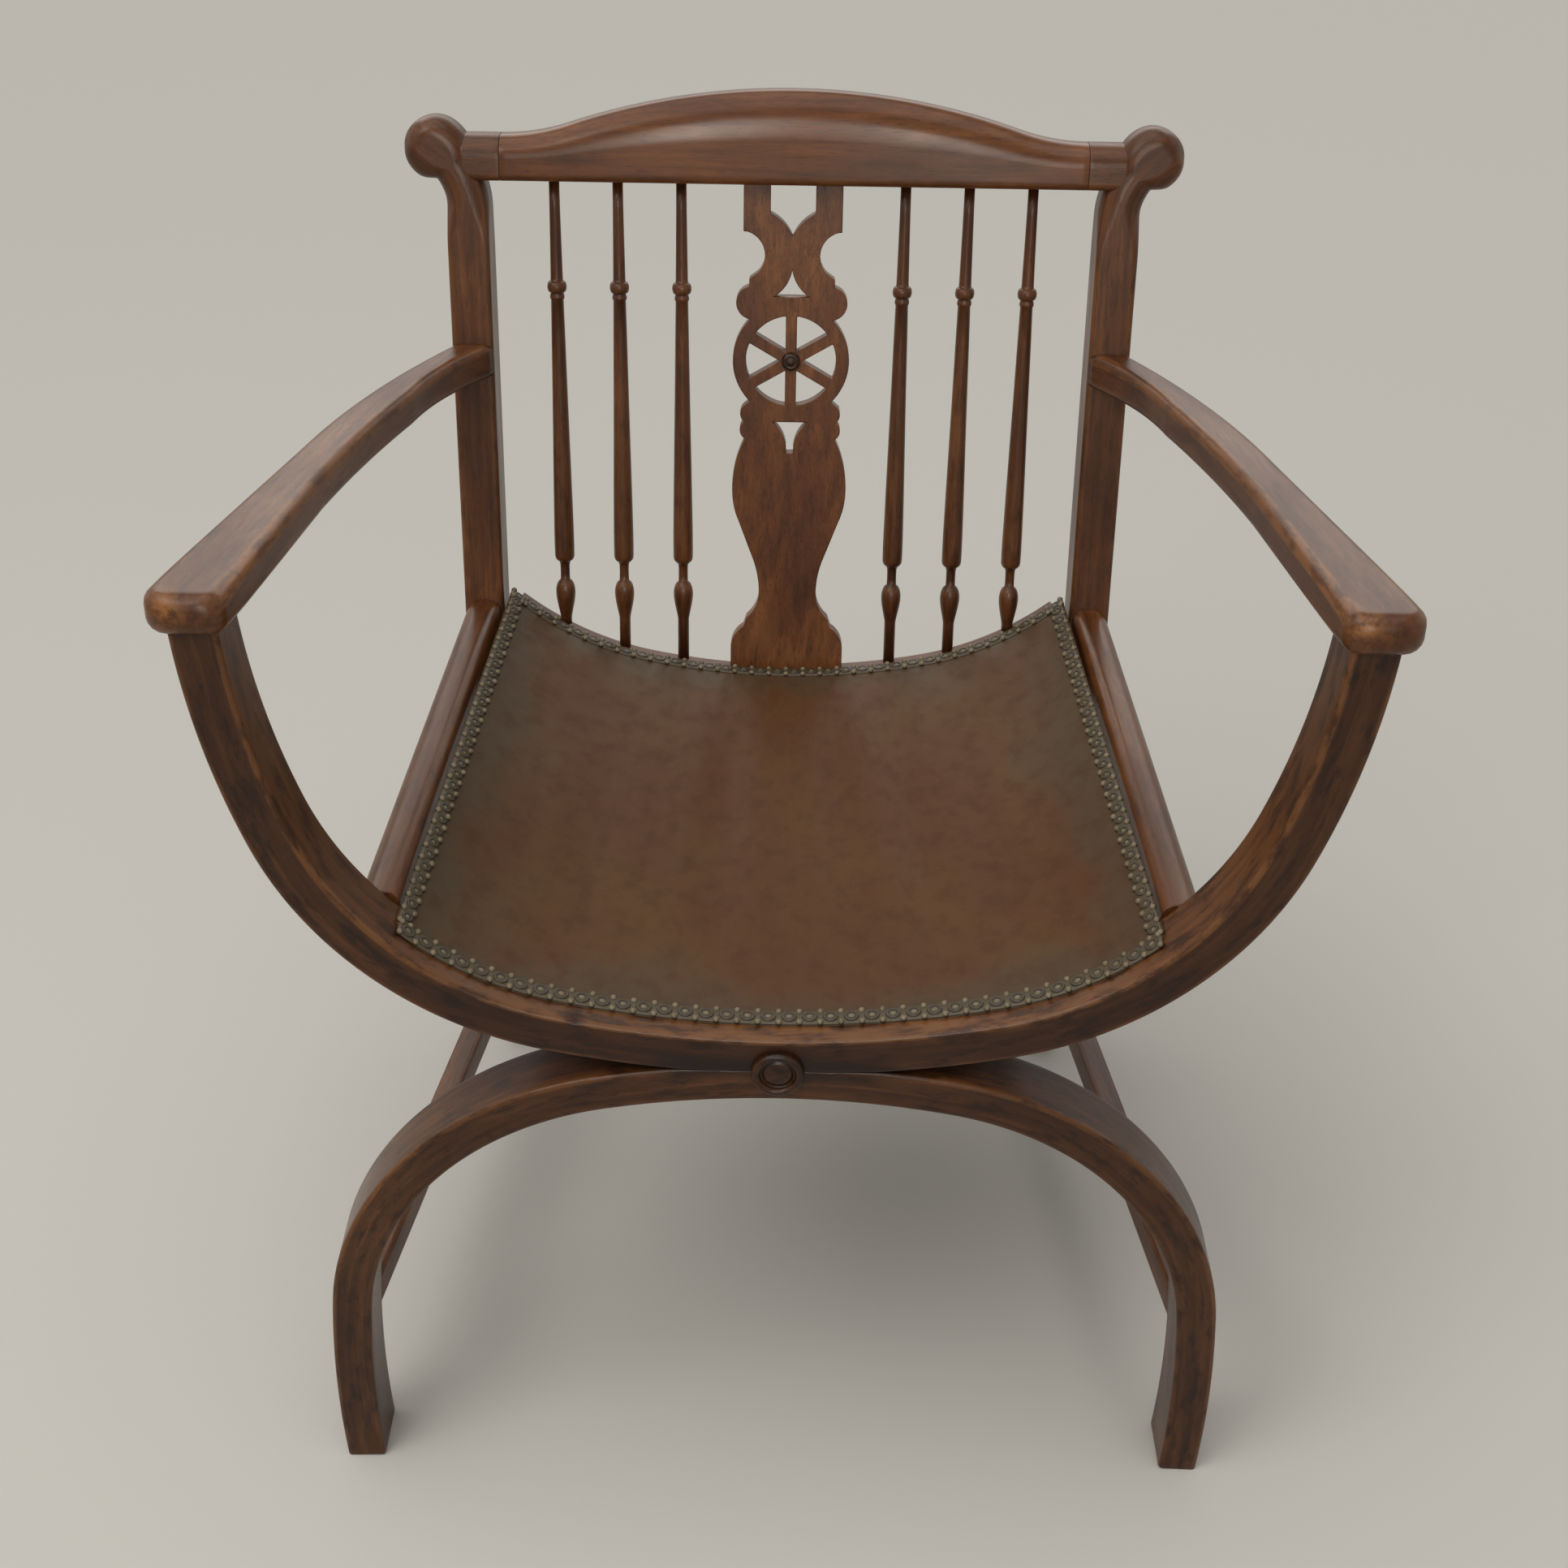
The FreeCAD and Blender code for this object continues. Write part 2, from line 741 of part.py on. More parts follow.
class Station:
    """One cross section of the seat: an upright one at the front, or one in the plane of the back."""

    def __init__(self, name, curve, inset, lift, at_back):
        self.name = name
        self.curve = curve
        self.lift = lift
        share = (inset - s.frame_depth) / side_run
        splay = (side_rear_reach - s.side_rail_front_reach) * share
        crown = s.side_rail_front_reach + splay - s.side_rail_crown
        edge = post_inner - s.leather_corner_gap if at_back else crown - s.leather_edge_gap
        self.edge = derive(f"edge_{name}", edge)
        base = back.point(0, -inset, 0) if at_back else (ZERO, front_y + inset, ZERO)
        upright = QUARTER_TURN - s.recline_angle if at_back else Size(QUARTER_TURN, str(QUARTER_TURN))
        self.frame = Frame(base, (1, 0, 0), derive(f"upright_{name}", upright))

    def sketch(self, label, outline):
        drawing = document.addObject("Sketcher::SketchObject", f"{label}_{self.name}")
        place(drawing, self.frame)
        draw(drawing, outline)
        return drawing

    def space_above(self, label, headroom, spare):
        """The space over the station's own lift: its curve, and the same curve moved straight up."""
        curve, under = self.curve, self.lift
        joint_x, joint_z = curve.joint(0, under)
        end = self.edge + spare
        end_z = curve.height(end, under)
        half = [
            (joint_x, joint_z, curve.arc(1, 1, under)),
            (end, end_z, None),
            (end, end_z + headroom, curve.arc(1, -1, under)),
            (joint_x, joint_z + headroom, curve.arc(0, -1, under)),
        ]
        return self.sketch(label, mirrored(half, curve.arc(0, 1, under)))

    def whole_width(self, label, low, high):
        """A band right across the seat, between two heights above the station's own lift."""
        curve, under, over = self.curve, self.lift + low, self.lift + high
        end = self.edge
        half = [
            (*curve.joint(0, under), curve.arc(1, 1, under)),
            (end, curve.height(end, under), None),
            (end, curve.height(end, over), curve.arc(1, -1, over)),
            (*curve.joint(0, over), curve.arc(0, -1, over)),
        ]
        return self.sketch(label, mirrored(half, curve.arc(0, 1, under)))

    def edge_strip(self, label, side, low, high, run):
        """A strip along one side of the seat."""
        curve, under, over = self.curve, self.lift + low, self.lift + high
        start = self.edge - run
        spots = [
            (start, curve.height(start, under), curve.arc(1, side, under)),
            (self.edge, curve.height(self.edge, under), None),
            (self.edge, curve.height(self.edge, over), curve.arc(1, -side, over)),
            (start, curve.height(start, over), None),
        ]
        return self.sketch(label, [(side * x, z, arc) for x, z, arc in spots])

    def strap(self, label, middle, low, high):
        """The end of a flat strap laid along the curve."""
        left, right = middle - s.strap_width / 2, middle + s.strap_width / 2
        curve, under, over = self.curve, self.lift + low, self.lift + high
        index = 0 if abs(as_size(middle).value) <= curve.joint(0, under)[0].value else 1
        outline = [
            (left, curve.height(left, under), curve.arc(index, 1, under)),
            (right, curve.height(right, under), None),
            (right, curve.height(right, over), curve.arc(index, -1, over)),
            (left, curve.height(left, over), None),
        ]
        return self.sketch(label, outline)


def loft(label, sections):
    skin = document.addObject("Part::Loft", label)
    skin.Sections = sections
    skin.Solid = True
    skin.Ruled = True
    skin.Label = label
    return skin


def over_bow(name, inset):
    """A station on the floor of the bow's rebate, at a distance behind its front face."""
    return Station(name, bow, inset, s.bow_thickness - s.seat_rebate, False)


def over_rear(name, inset):
    """A station on the floor of the rear rail's rebate, in front of the middle of the back."""
    return Station(name, rear, inset, -s.seat_rebate, True)


leather_stations = [
    over_bow("a", s.leather_front_inset),
    over_bow("b", s.leather_front_inset + s.gimp_width),
    over_rear("c", s.leather_rear_inset + s.gimp_width),
    over_rear("d", s.leather_rear_inset),
]
strap_stations = [
    over_bow("strap_front", s.strap_front_inset),
    over_rear("strap_middle", s.leather_rear_inset + s.gimp_width),
    over_rear("strap_rear", s.strap_rear_inset),
]
space_stations = [
    over_bow("space_front", s.leather_front_inset - s.layer_gap),
    *leather_stations[1:3],
    over_rear("space_rear", s.leather_rear_inset - s.layer_gap),
]
seat_space = loft("seat_space", [station.space_above("seat_space", s.seat_headroom, s.layer_gap)
                                 for station in space_stations])


# Front frame

def make_bow():
    thick = s.bow_thickness
    cut_x = root(s.bow_base_radius * s.bow_base_radius
                 - (s.bow_base_radius - s.crossing_lap) * (s.bow_base_radius - s.crossing_lap))
    blank_top = larger(bow.centres[2][1], s.arm_height) + thick
    half = [
        (cut_x, s.crossing_height, bow.arc(0, 1)),
        (*bow.joint(0), bow.arc(1, 1)),
        (*bow.joint(1), bow.arc(2, 1)),
        (bow_half_width, bow.centres[2][1], None),
        (bow_half_width, blank_top, None),
        (bow_half_width - thick, blank_top, None),
        (bow_half_width - thick, bow.centres[2][1], bow.arc(2, -1, thick)),
        (*bow.joint(1, thick), bow.arc(1, -1, thick)),
        (*bow.joint(0, thick), bow.arc(0, -1, thick)),
    ]
    blank = board("bow_blank", "XZ_Plane", [mirrored(half, None)], s.frame_depth, front)
    tools = [above_arms("bow_trim"), boss_hole("bow_boss_hole", s.joint_clearance), seat_space]
    tools += crossing_pegs("bow_dowel_hole", s.joint_clearance)
    for name, side in SIDES.items():
        tools.append(arm_peg(f"bow_arm_hole_{name}", side, s.joint_clearance))
        tools.append(block(f"bow_mortise_{name}", side_frames[name], *mortise_gap(*side_tenons(side)[0])))
    keep(carved("front_bow", blank, tools), "front_bow")


def make_arch():
    thick = s.arch_thickness
    crown = s.arch_crown_radius
    cut_x = root(crown * crown - (crown - s.crossing_lap) * (crown - s.crossing_lap))
    leg_x, leg_z = arch.centres[2]
    foot_outer = leg_x + root(s.arch_leg_radius * s.arch_leg_radius - leg_z * leg_z)
    inner_leg = s.arch_leg_radius - thick
    foot_inner = leg_x + root(inner_leg * inner_leg - leg_z * leg_z)
    half = [
        (*arch.joint(0, thick), arch.arc(1, -1, thick)),
        (*arch.joint(1, thick), arch.arc(2, -1, thick)),
        (foot_inner, ZERO, None),
        (foot_outer, ZERO, arch.arc(2, 1)),
        (*arch.joint(1), arch.arc(1, 1)),
        (*arch.joint(0), arch.arc(0, 1)),
        (cut_x, s.crossing_height, None),
    ]
    outline = mirrored(half, arch.arc(0, -1, thick))
    blank = board("arch_blank", "XZ_Plane", [outline], s.frame_depth, front)
    tools = [boss_hole("arch_boss_hole", s.joint_clearance)]
    tools += crossing_pegs("arch_dowel_hole", s.joint_clearance)
    for name in SIDES:
        tools.append(stretcher_peg(f"arch_stretcher_hole_{name}", name, False, s.joint_clearance))
    keep(carved("front_leg_arch", blank, tools), "front_leg_arch")


def make_boss():
    """A ring with a dished face and a spigot, turned about an axis that points to the front."""
    rim = s.boss_radius - s.boss_rim_width
    outline = [
        (ZERO, -s.boss_spigot_length, None),
        (s.boss_spigot_radius, -s.boss_spigot_length, None),
        (s.boss_spigot_radius, ZERO, None),
        (s.boss_radius, ZERO, None),
        (s.boss_radius, s.boss_proud - s.boss_rim_width / 2, (s.boss_rim_width / 2, 1)),
        (s.boss_radius - s.boss_rim_width / 2, s.boss_proud, (s.boss_rim_width / 2, 1)),
        (rim, s.boss_proud - s.boss_rim_width / 2, None),
        (rim, s.boss_proud - s.boss_dish, None),
        (ZERO, s.boss_proud - s.boss_dish, None),
    ]
    mouth = Frame((ZERO, front_y, s.crossing_height), (1, 0, 0), Size(QUARTER_TURN, str(QUARTER_TURN)))
    keep(turning("crossing_boss", outline, mouth), "crossing_boss")


def make_dowels():
    keep(group("crossing_dowels", crossing_pegs("crossing_dowel", ZERO)), "crossing_dowels")
    pegs = [arm_peg(f"arm_dowel_{name}", side, ZERO) for name, side in SIDES.items()]
    keep(group("arm_dowels", pegs), "arm_dowels")


def group(label, pieces):
    """Like pieces kept as one sub-part of separate solids."""
    bundle = document.addObject("Part::Compound", label)
    bundle.Links = pieces
    return bundle


# Back

def post_profile():
    """Side outline of a post and its rear leg, in the chair's Y and Z."""
    def spot(y, z):
        return back.point(0, y, z)[1:]
    foot = back_y + s.rear_leg_rake
    half_foot = s.rear_foot_depth / 2
    corners = [
        (foot - half_foot, ZERO),
        (foot + half_foot, ZERO),
        spot(s.post_back, -s.post_bend_drop),
        spot(s.post_back, shaft_top),
        spot(-s.post_front, shaft_top),
        spot(-s.post_front, -s.post_bend_drop),
    ]
    return [(y, z, None) for y, z in corners]


def make_post(name, side):
    middle = floor.at(side * s.post_offset, ZERO, ZERO)
    shaft = board(f"{name}_shaft", "YZ_Plane", [post_profile()], s.post_width, middle, centred=True)
    near, far = crest_half, post_outer
    ends = (near, far) if side > 0 else (-far, -near)
    head = block(f"{name}_head_blank", back, (ends[0], -s.post_front, s.crest_height),
                 (ends[1], s.post_back, head_top))
    ear_base = back.at(side * (s.post_offset + s.ear_offset), s.post_back, s.ear_height)
    ear_base = Frame(ear_base.base, (1, 0, 0), derive(f"ear_turn_{name}", QUARTER_TURN - s.recline_angle))
    ear = peg(f"{name}_ear_blank", ear_base, s.ear_radius, s.post_front + s.post_back)
    document.recompute()
    rims = [index for index, edge in enumerate(ear.Shape.Edges, start=1)
            if isinstance(edge.Curve, Part.Circle)]
    tops = [index for index, edge in enumerate(head.Shape.Edges, start=1) if is_head_rim(edge)]
    rounded = eased(f"{name}_ear", ear, rims, s.ear_round)
    crowned = eased(f"{name}_head", head, tops, s.crest_round)
    blank = joined(f"{name}_post_blank", [shaft, crowned, rounded])
    tools = [
        block(f"{name}_crest_mortise", back, *mortise_gap(*crest_tenon(side))),
        block(f"{name}_rear_mortise", back, *mortise_gap(*rear_tenon(side))),
        block(f"{name}_side_mortise", side_frames[name], *mortise_gap(*side_tenons(side)[1])),
        block(f"{name}_arm_mortise", arms, *mortise_gap(*arm_tenon(side))),
        stretcher_peg(f"{name}_stretcher_hole", name, True, s.joint_clearance),
    ]
    keep(carved(f"{name}_back_post", blank, tools), f"{name}_back_post")
    return shaft


def is_head_rim(edge):
    """True for the long top edges of a post's head."""
    lengthwise = abs(edge.tangentAt(edge.FirstParameter).x) > 0.99
    middle = edge.valueAt((edge.FirstParameter + edge.LastParameter) / 2)
    return lengthwise and middle.z > back.point(0, 0, (s.crest_height + head_top) / 2)[2].value


def eased(label, piece, edges, radius):
    """A piece with some of its edges rounded."""
    rounded = document.addObject("Part::Fillet", label)
    rounded.Base = piece
    rounded.Edges = [(index, radius.value, radius.value) for index in edges]
    return rounded


def make_crest():
    saddle = s.crest_saddle_radius
    both = (crest_half * crest_half + s.crest_rise * s.crest_rise) / (2 * s.crest_rise)
    crown = derive("crest_crown_radius", both - saddle)
    join_x = crest_half * crown / both
    join_z = crest_top - crown + root(crown * crown - join_x * join_x)
    half = [
        (crest_half, s.crest_height, None),
        (crest_half, head_top, (saddle, -1)),
        (join_x, join_z, (crown, 1)),
    ]
    depth = s.crest_front + s.crest_back
    start = back.at(ZERO, -s.crest_front, ZERO)
    body = board("crest_blank", "XZ_Plane", [mirrored(half, None)], depth, start)
    document.recompute()
    pad = body.Tip
    rims = [f"Edge{index}" for index, edge in enumerate(pad.Shape.Edges, start=1)
            if is_crest_rim(edge, join_x.value)]
    easing = body.newObject("PartDesign::Fillet", "crest_easing")
    easing.Base = (pad, rims)
    easing.setExpression("Radius", s.crest_round.formula)
    tenons = [block(f"crest_tenon_{name}", back, *crest_tenon(side)) for name, side in SIDES.items()]
    blank = joined("crest_with_tenons", [body] + tenons)
    tools = spindle_holes("crest_hole", s.crest_height, s.spindle_top_radius)
    for name, side in SIDES.items():
        tools.append(block(f"crest_tongue_mortise_{name}", back, *mortise_gap(*tongue_tenon(side))))
    keep(carved("crest_rail", blank, tools), "crest_rail")


def is_crest_rim(edge, join_x):
    """True for the long edges of the crest's crown, front and back."""
    middle = edge.valueAt((edge.FirstParameter + edge.LastParameter) / 2)
    upper = middle.z > head_top.value + s.crest_rise.value / 2
    return upper and abs(middle.x) < join_x and isinstance(edge.Curve, Part.Circle)


def make_rear_rail():
    tall = -s.rear_rail_height
    centre_x, centre_z = rear.centres[1]
    reach = post_inner - centre_x
    radius = s.rear_rail_haunch_radius
    lower = radius + s.rear_rail_height
    end_top = centre_z - root(radius * radius - reach * reach)
    end_bottom = centre_z - root(lower * lower - reach * reach)
    half = [
        (*rear.joint(0, tall), rear.arc(1, 1, tall)),
        (post_inner, end_bottom, None),
        (post_inner, end_top, rear.arc(1, -1)),
        (*rear.joint(0), rear.arc(0, -1)),
    ]
    outline = mirrored(half, rear.arc(0, 1, tall))
    depth = rear_rail_front + s.rear_rail_back
    body = board("rear_rail_blank", "XZ_Plane", [outline], depth, back.at(ZERO, -rear_rail_front, ZERO))
    tenons = [block(f"rear_tenon_{name}", back, *rear_tenon(side)) for name, side in SIDES.items()]
    blank = joined("rear_rail_with_tenons", [body] + tenons)
    tools = [block("rear_rail_splat_mortise", back, *mortise_gap(*splat_tenon())), seat_space]
    for index, side, across in spindle_places():
        depth_here = rear.height(across) - s.spindle_tenon_length - s.joint_clearance
        base = back.at(across, ZERO, depth_here)
        tools.append(peg(f"rear_rail_hole_{index}", base, s.spindle_tail_radius + s.joint_clearance,
                         2 * s.spindle_tenon_length))
    keep(carved("rear_seat_rail", blank, tools), "rear_seat_rail")


# Spindles and splat

def spindle_places():
    """Number, side and distance from the middle of every spindle, from left to right."""
    places = []
    for side in (LEFT, RIGHT):
        for step in range(SPINDLES_EACH_SIDE):
            places.append((side, side * (s.spindle_first + step * s.spindle_pitch)))
    places.sort(key=lambda spot: spot[1].value)
    return [(number, side, across) for number, (side, across) in enumerate(places, start=1)]


def spindle_holes(label, height, radius):
    """Round holes for the spindles' ends, going up from a height in the back's frame."""
    holes = []
    for number, side, across in spindle_places():
        base = back.at(across, ZERO, height - s.spindle_tenon_length)
        length = 2 * s.spindle_tenon_length + s.joint_clearance
        holes.append(peg(f"{label}_{number}", base, radius + s.joint_clearance, length))
    return holes


def make_spindles():
    for number, side, across in spindle_places():
        top = s.crest_height + s.spindle_tenon_length
        foot = rear.height(across) - s.spindle_tenon_length
        half_bead = s.spindle_bead_length / 2
        outline = [
            (ZERO, foot, None),
            (s.spindle_tail_radius, foot, None),
            (s.spindle_tail_radius, s.spindle_bulb_top - s.spindle_bulb_length, (s.spindle_bulb_radius, 1)),
            (s.spindle_pin_radius, s.spindle_bulb_top, None),
            (s.spindle_pin_radius, s.spindle_shoulder_height - s.spindle_shoulder_fall, None),
            (s.spindle_swell_radius, s.spindle_shoulder_height, None),
            (s.spindle_swell_radius, s.spindle_swell_height, None),
            (s.spindle_neck_radius, s.spindle_bead_height - half_bead, (s.spindle_bead_radius, 1)),
            (s.spindle_neck_radius, s.spindle_bead_height + half_bead, None),
            (s.spindle_top_radius, s.crest_height, None),
            (s.spindle_top_radius, top, None),
            (ZERO, top, None),
        ]
        label = f"spindle_{number}"
        keep(turning(label, outline, back.at(across, ZERO, ZERO)), label)


def tongue_tenon(side):
    ends = (s.tongue_inner, s.tongue_outer) if side > 0 else (-s.tongue_outer, -s.tongue_inner)
    half = s.splat_tenon_thickness / 2
    low = (ends[0], -half, s.crest_height - s.splat_tenon_length)
    high = (ends[1], half, s.crest_height + s.splat_tenon_length)
    return low, high


def splat_tenon():
    half = s.splat_tenon_thickness / 2
    foot = -s.rear_rail_dip
    low = (-s.splat_tenon_half_width, -half, foot - s.splat_tenon_length)
    high = (s.splat_tenon_half_width, half, foot + s.splat_tenon_length)
    return low, high


def splat_outline():
    """Right half of the splat from its foot up, then mirrored."""
    rim = s.wheel_radius * sine(QUARTER_TURN / 2)
    half = [
        (s.plinth_half_width, rear.height(s.plinth_half_width), None),
        (s.plinth_half_width, s.plinth_height, (s.plinth_radius, 1)),
        (s.step_half_width, s.step_height, None),
        (s.ankle_half_width, s.ankle_height, (s.ankle_radius, -1)),
        (s.waist_half_width, s.waist_height, (s.throat_radius, -1)),
        (s.throat_half_width, s.throat_height, None),
        (s.belly_lower_half_width, s.belly_lower_height, (s.belly_lower_radius, 1)),
        (s.belly_half_width, s.belly_height, (s.belly_upper_radius, 1)),
        (s.shoulder_half_width, s.bead_bottom, (s.splat_bead_radius, 1)),
        (s.bead_half_width, s.bead_middle, (s.splat_bead_radius, 1)),
        (s.shoulder_half_width, s.bead_top, None),
        (rim, s.wheel_height - rim, (s.wheel_radius, 1)),
        (rim, s.wheel_height + rim, (s.scroll_radius, 1)),
        (s.collar_half_width, s.collar_height - s.collar_depth, None),
        (s.collar_half_width, s.collar_height, None),
        (s.notch_end_half_width, s.notch_end_height, (s.notch_radius, -1)),
        (s.tongue_outer - s.ledge_inset, s.ledge_height, None),
        (s.tongue_outer, s.ledge_height, None),
        (s.tongue_outer, s.crest_height, None),
        (s.tongue_inner, s.crest_height, None),
        (s.tongue_inner, s.tongue_shoulder_height, (s.fork_radius, 1)),
    ]
    right = half + [(ZERO, s.fork_height, (s.fork_radius, 1))]
    left = []
    for index in range(len(half) - 1, -1, -1):
        x, y, unused = half[index]
        arc = half[index - 1][2] if index else (s.rear_rail_base_radius, 1)
        left.append((-x, y, arc))
    return right + left


def wheel_openings():
    """The six openings between the spokes, each closed by an arc of the rim."""
    inner = s.wheel_radius - s.wheel_rim
    half = s.spoke_width / 2
    along = root(inner * inner - half * half)
    spokes = 6
    step = 2 * HALF_TURN / spokes
    openings = []
    for number in range(spokes):
        first = QUARTER_TURN + number * step
        last = first + step
        point = s.spoke_width / (2 * sine(step / 2))
        corners = []
        for reach, bend, offset, arc in ((point, first + step / 2, ZERO, None),
                                         (along, first, half, (inner, 1)),
                                         (along, last, -half, None)):
            x = reach * cosine(bend) - offset * sine(bend)
            z = s.wheel_height + reach * sine(bend) + offset * cosine(bend)
            corners.append((x, z, arc))
        openings.append(corners)
    return openings


def make_splat():
    apex = [
        (-s.piercing_half_width, s.piercing_base, None),
        (s.piercing_half_width, s.piercing_base, (s.piercing_radius, -1)),
        (ZERO, s.piercing_apex, (s.piercing_radius, -1)),
    ]
    stem = s.keyhole_stem_half_width
    keyhole = [
        (-stem, s.keyhole_end, None),
        (stem, s.keyhole_end, None),
        (stem, s.keyhole_neck, (s.piercing_radius, -1)),
        (s.piercing_half_width, s.keyhole_top, None),
        (-s.piercing_half_width, s.keyhole_top, (s.piercing_radius, -1)),
        (-stem, s.keyhole_neck, None),
    ]
    outlines = [splat_outline(), apex, keyhole] + wheel_openings()
    body = board("splat_board", "XZ_Plane", outlines, s.splat_thickness, back, centred=True)
    tenons = [block(f"tongue_tenon_{name}", back, *tongue_tenon(side)) for name, side in SIDES.items()]
    tenons.append(block("splat_foot_tenon", back, *splat_tenon()))
    blank = joined("splat_with_tenons", [body] + tenons)
    hole_radius = s.button_spigot_radius + s.joint_clearance
    hole = peg("splat_hub_hole", button_frame(), hole_radius, s.splat_thickness)
    keep(carved("wheel_splat", blank, [hole]), "wheel_splat")


def button_frame():
    """The hub's face, with its own Z pointing into the splat."""
    base = back.point(0, -s.splat_thickness / 2, s.wheel_height)
    return Frame(base, (1, 0, 0), derive_once("button_turn", -QUARTER_TURN - s.recline_angle))


once = {}


def derive_once(name, size):
    if name not in once:
        once[name] = derive(name, size)
    return once[name]


def make_button():
    """A low turned button, drawn with its face down because its frame points into the splat."""
    outline = [
        (ZERO, -s.button_proud, None),
        (s.button_radius / 2, -s.button_proud, (s.button_radius / 1.5, 1)),
        (s.button_radius, ZERO, None),
        (s.button_spigot_radius, ZERO, None),
        (s.button_spigot_radius, s.splat_thickness, None),
        (ZERO, s.splat_thickness, None),
    ]
    keep(turning("wheel_button", outline, button_frame()), "wheel_button")


# Rails, arms and stretchers

def make_side_rail(name, side):
    """Rounded crown outside, then a step and a falling ledge that takes the edge of the leather."""
    frame = side_frames[name]
    top = s.side_rail_round
    shape = [
        (ZERO, -s.side_rail_height, None),
        (ZERO, -top, (top, -1)),
        (top, ZERO, None),
        (s.side_rail_crown - s.side_rail_step, ZERO, (s.side_rail_step, -1)),
        (s.side_rail_crown, -s.side_rail_step, None),
        (s.side_rail_width, -s.side_rail_step - s.side_rail_fall, None),
        (s.side_rail_width, -s.side_rail_height, None),
    ]
    outline = [(-side * x, z, (arc[0], arc[1] * -side) if arc else None) for x, z, arc in shape]
    length = side_run + s.post_front + s.frame_depth
    start = frame.at(ZERO, -s.frame_depth / 2, ZERO)
    blank = board(f"{name}_side_rail_blank", "XZ_Plane", [outline], length, start)
    tools = [before_frame_back(f"{name}_side_rail_front"), behind_posts(f"{name}_side_rail_rear"), seat_space]
    trimmed = carved(f"{name}_side_rail_trimmed", blank, tools)
    tenons = [block(f"{name}_side_tenon_{end}", frame, *corners)
              for end, corners in zip(("front", "rear"), side_tenons(side))]
    keep(joined(f"{name}_side_rail", [trimmed] + tenons), f"{name}_side_rail")


def make_arm(name, side):
    outer = bow_half_width + s.arm_side_overhang
    inner = outer - s.arm_front_width
    nose = -s.arm_front_overhang
    big, small = s.arm_outer_corner, s.arm_inner_corner
    end = arm_run + s.post_front
    shape = [
        (inner, nose + small, (small, 1)),
        (inner + small, nose, None),
        (outer - big, nose, (big, 1)),
        (outer, nose + big, None),
        (outer - s.arm_outer_bend_inset, s.arm_outer_bend, (s.arm_outer_radius, 1)),
        (post_outer, arm_run, None),
        (post_outer, end, None),
        (post_inner, end, None),
        (post_inner, arm_run, (s.arm_rear_radius, -1)),
        (inner - s.arm_waist_inset, s.arm_waist, (s.arm_inner_radius, -1)),
        (inner - s.arm_inner_bend_inset, s.arm_inner_bend, None),
    ]
    outline = [(side * x, y, (arc[0], arc[1] * side) if arc else None) for x, y, arc in shape]
    blank = board(f"{name}_arm_blank", "XY_Plane", [outline], s.arm_thickness, arms)
    trimmed = carved(f"{name}_arm_trimmed", blank, [behind_posts(f"{name}_arm_rear")])
    tenon = block(f"{name}_arm_tenon", arms, *arm_tenon(side))
    whole = joined(f"{name}_arm_with_tenon", [trimmed, tenon])
    hole = arm_peg(f"{name}_arm_hole", side, s.joint_clearance)
    keep(carved(f"{name}_arm", whole, [hole]), f"{name}_arm")


def stretcher_peg(label, name, at_rear, gap):
    """The round tenon at one end of a stretcher, or with a gap the hole for it."""
    end = stretcher_run if at_rear else ZERO
    base = stretcher_frames[name].at(ZERO, end - s.stretcher_tenon_length - gap, ZERO)
    pin = peg(label, base, s.stretcher_tenon_radius + gap, 2 * (s.stretcher_tenon_length + gap))
    turn = FreeCAD.Rotation(base.axis, base.angle.value)
    laid = FreeCAD.Rotation(FreeCAD.Vector(1, 0, 0), -QUARTER_TURN)
    pin.setExpression("Placement.Rotation.Angle", None)
    pin.Placement = FreeCAD.Placement(pin.Placement.Base, turn * laid)
    return pin


def make_stretcher(name, shaft):
    frame = stretcher_frames[name]
    half, tall = s.stretcher_width / 2, s.stretcher_depth / 2
    low = (-half, -s.frame_depth / 2, -tall)
    high = (half, stretcher_run + s.rear_foot_depth / 2, tall)
    blank = block(f"{name}_stretcher_blank", frame, low, high)
    tools = [before_frame_back(f"{name}_stretcher_front"), shaft]
    trimmed = carved(f"{name}_stretcher_trimmed", blank, tools)
    tenons = [stretcher_peg(f"{name}_stretcher_tenon_{end}", name, end == "rear", ZERO)
              for end in ("front", "rear")]
    keep(joined(f"{name}_stretcher", [trimmed] + tenons), f"{name}_stretcher")


# Seat upholstery

def layer(label, stations, low, high):
    sections = [station.whole_width(label, low, high) for station in stations]
    return keep(loft(label, sections), label)


def make_seat():
    """Leather over the straps, and a band of gimp along each of its edges."""
    under = s.layer_gap + s.strap_thickness + s.strap_slack
    over = under + s.leather_thickness
    low, high = over + s.layer_gap, over + s.layer_gap + s.gimp_thickness
    layer("seat_leather", leather_stations, under, over)
    layer("front_gimp", leather_stations[:2], low, high)
    layer("rear_gimp", leather_stations[2:], low, high)
    for name, side in SIDES.items():
        label = f"{name}_gimp"
        sections = [station.edge_strip(label, side, low, high, s.gimp_side_run)
                    for station in leather_stations[1:3]]
        keep(loft(label, sections), label)


def make_straps():
    straps = []
    low, high = s.layer_gap, s.layer_gap + s.strap_thickness
    for number in range(-STRAPS_EACH_SIDE, STRAPS_EACH_SIDE + 1):
        label = f"strap_{number + STRAPS_EACH_SIDE + 1}"
        pitches = (s.strap_front_pitch, s.strap_rear_pitch, s.strap_rear_pitch)
        sections = [station.strap(label, number * pitch, low, high)
                    for station, pitch in zip(strap_stations, pitches)]
        straps.append(loft(label, sections))
    keep(group("seat_webbing", straps), "seat_webbing")


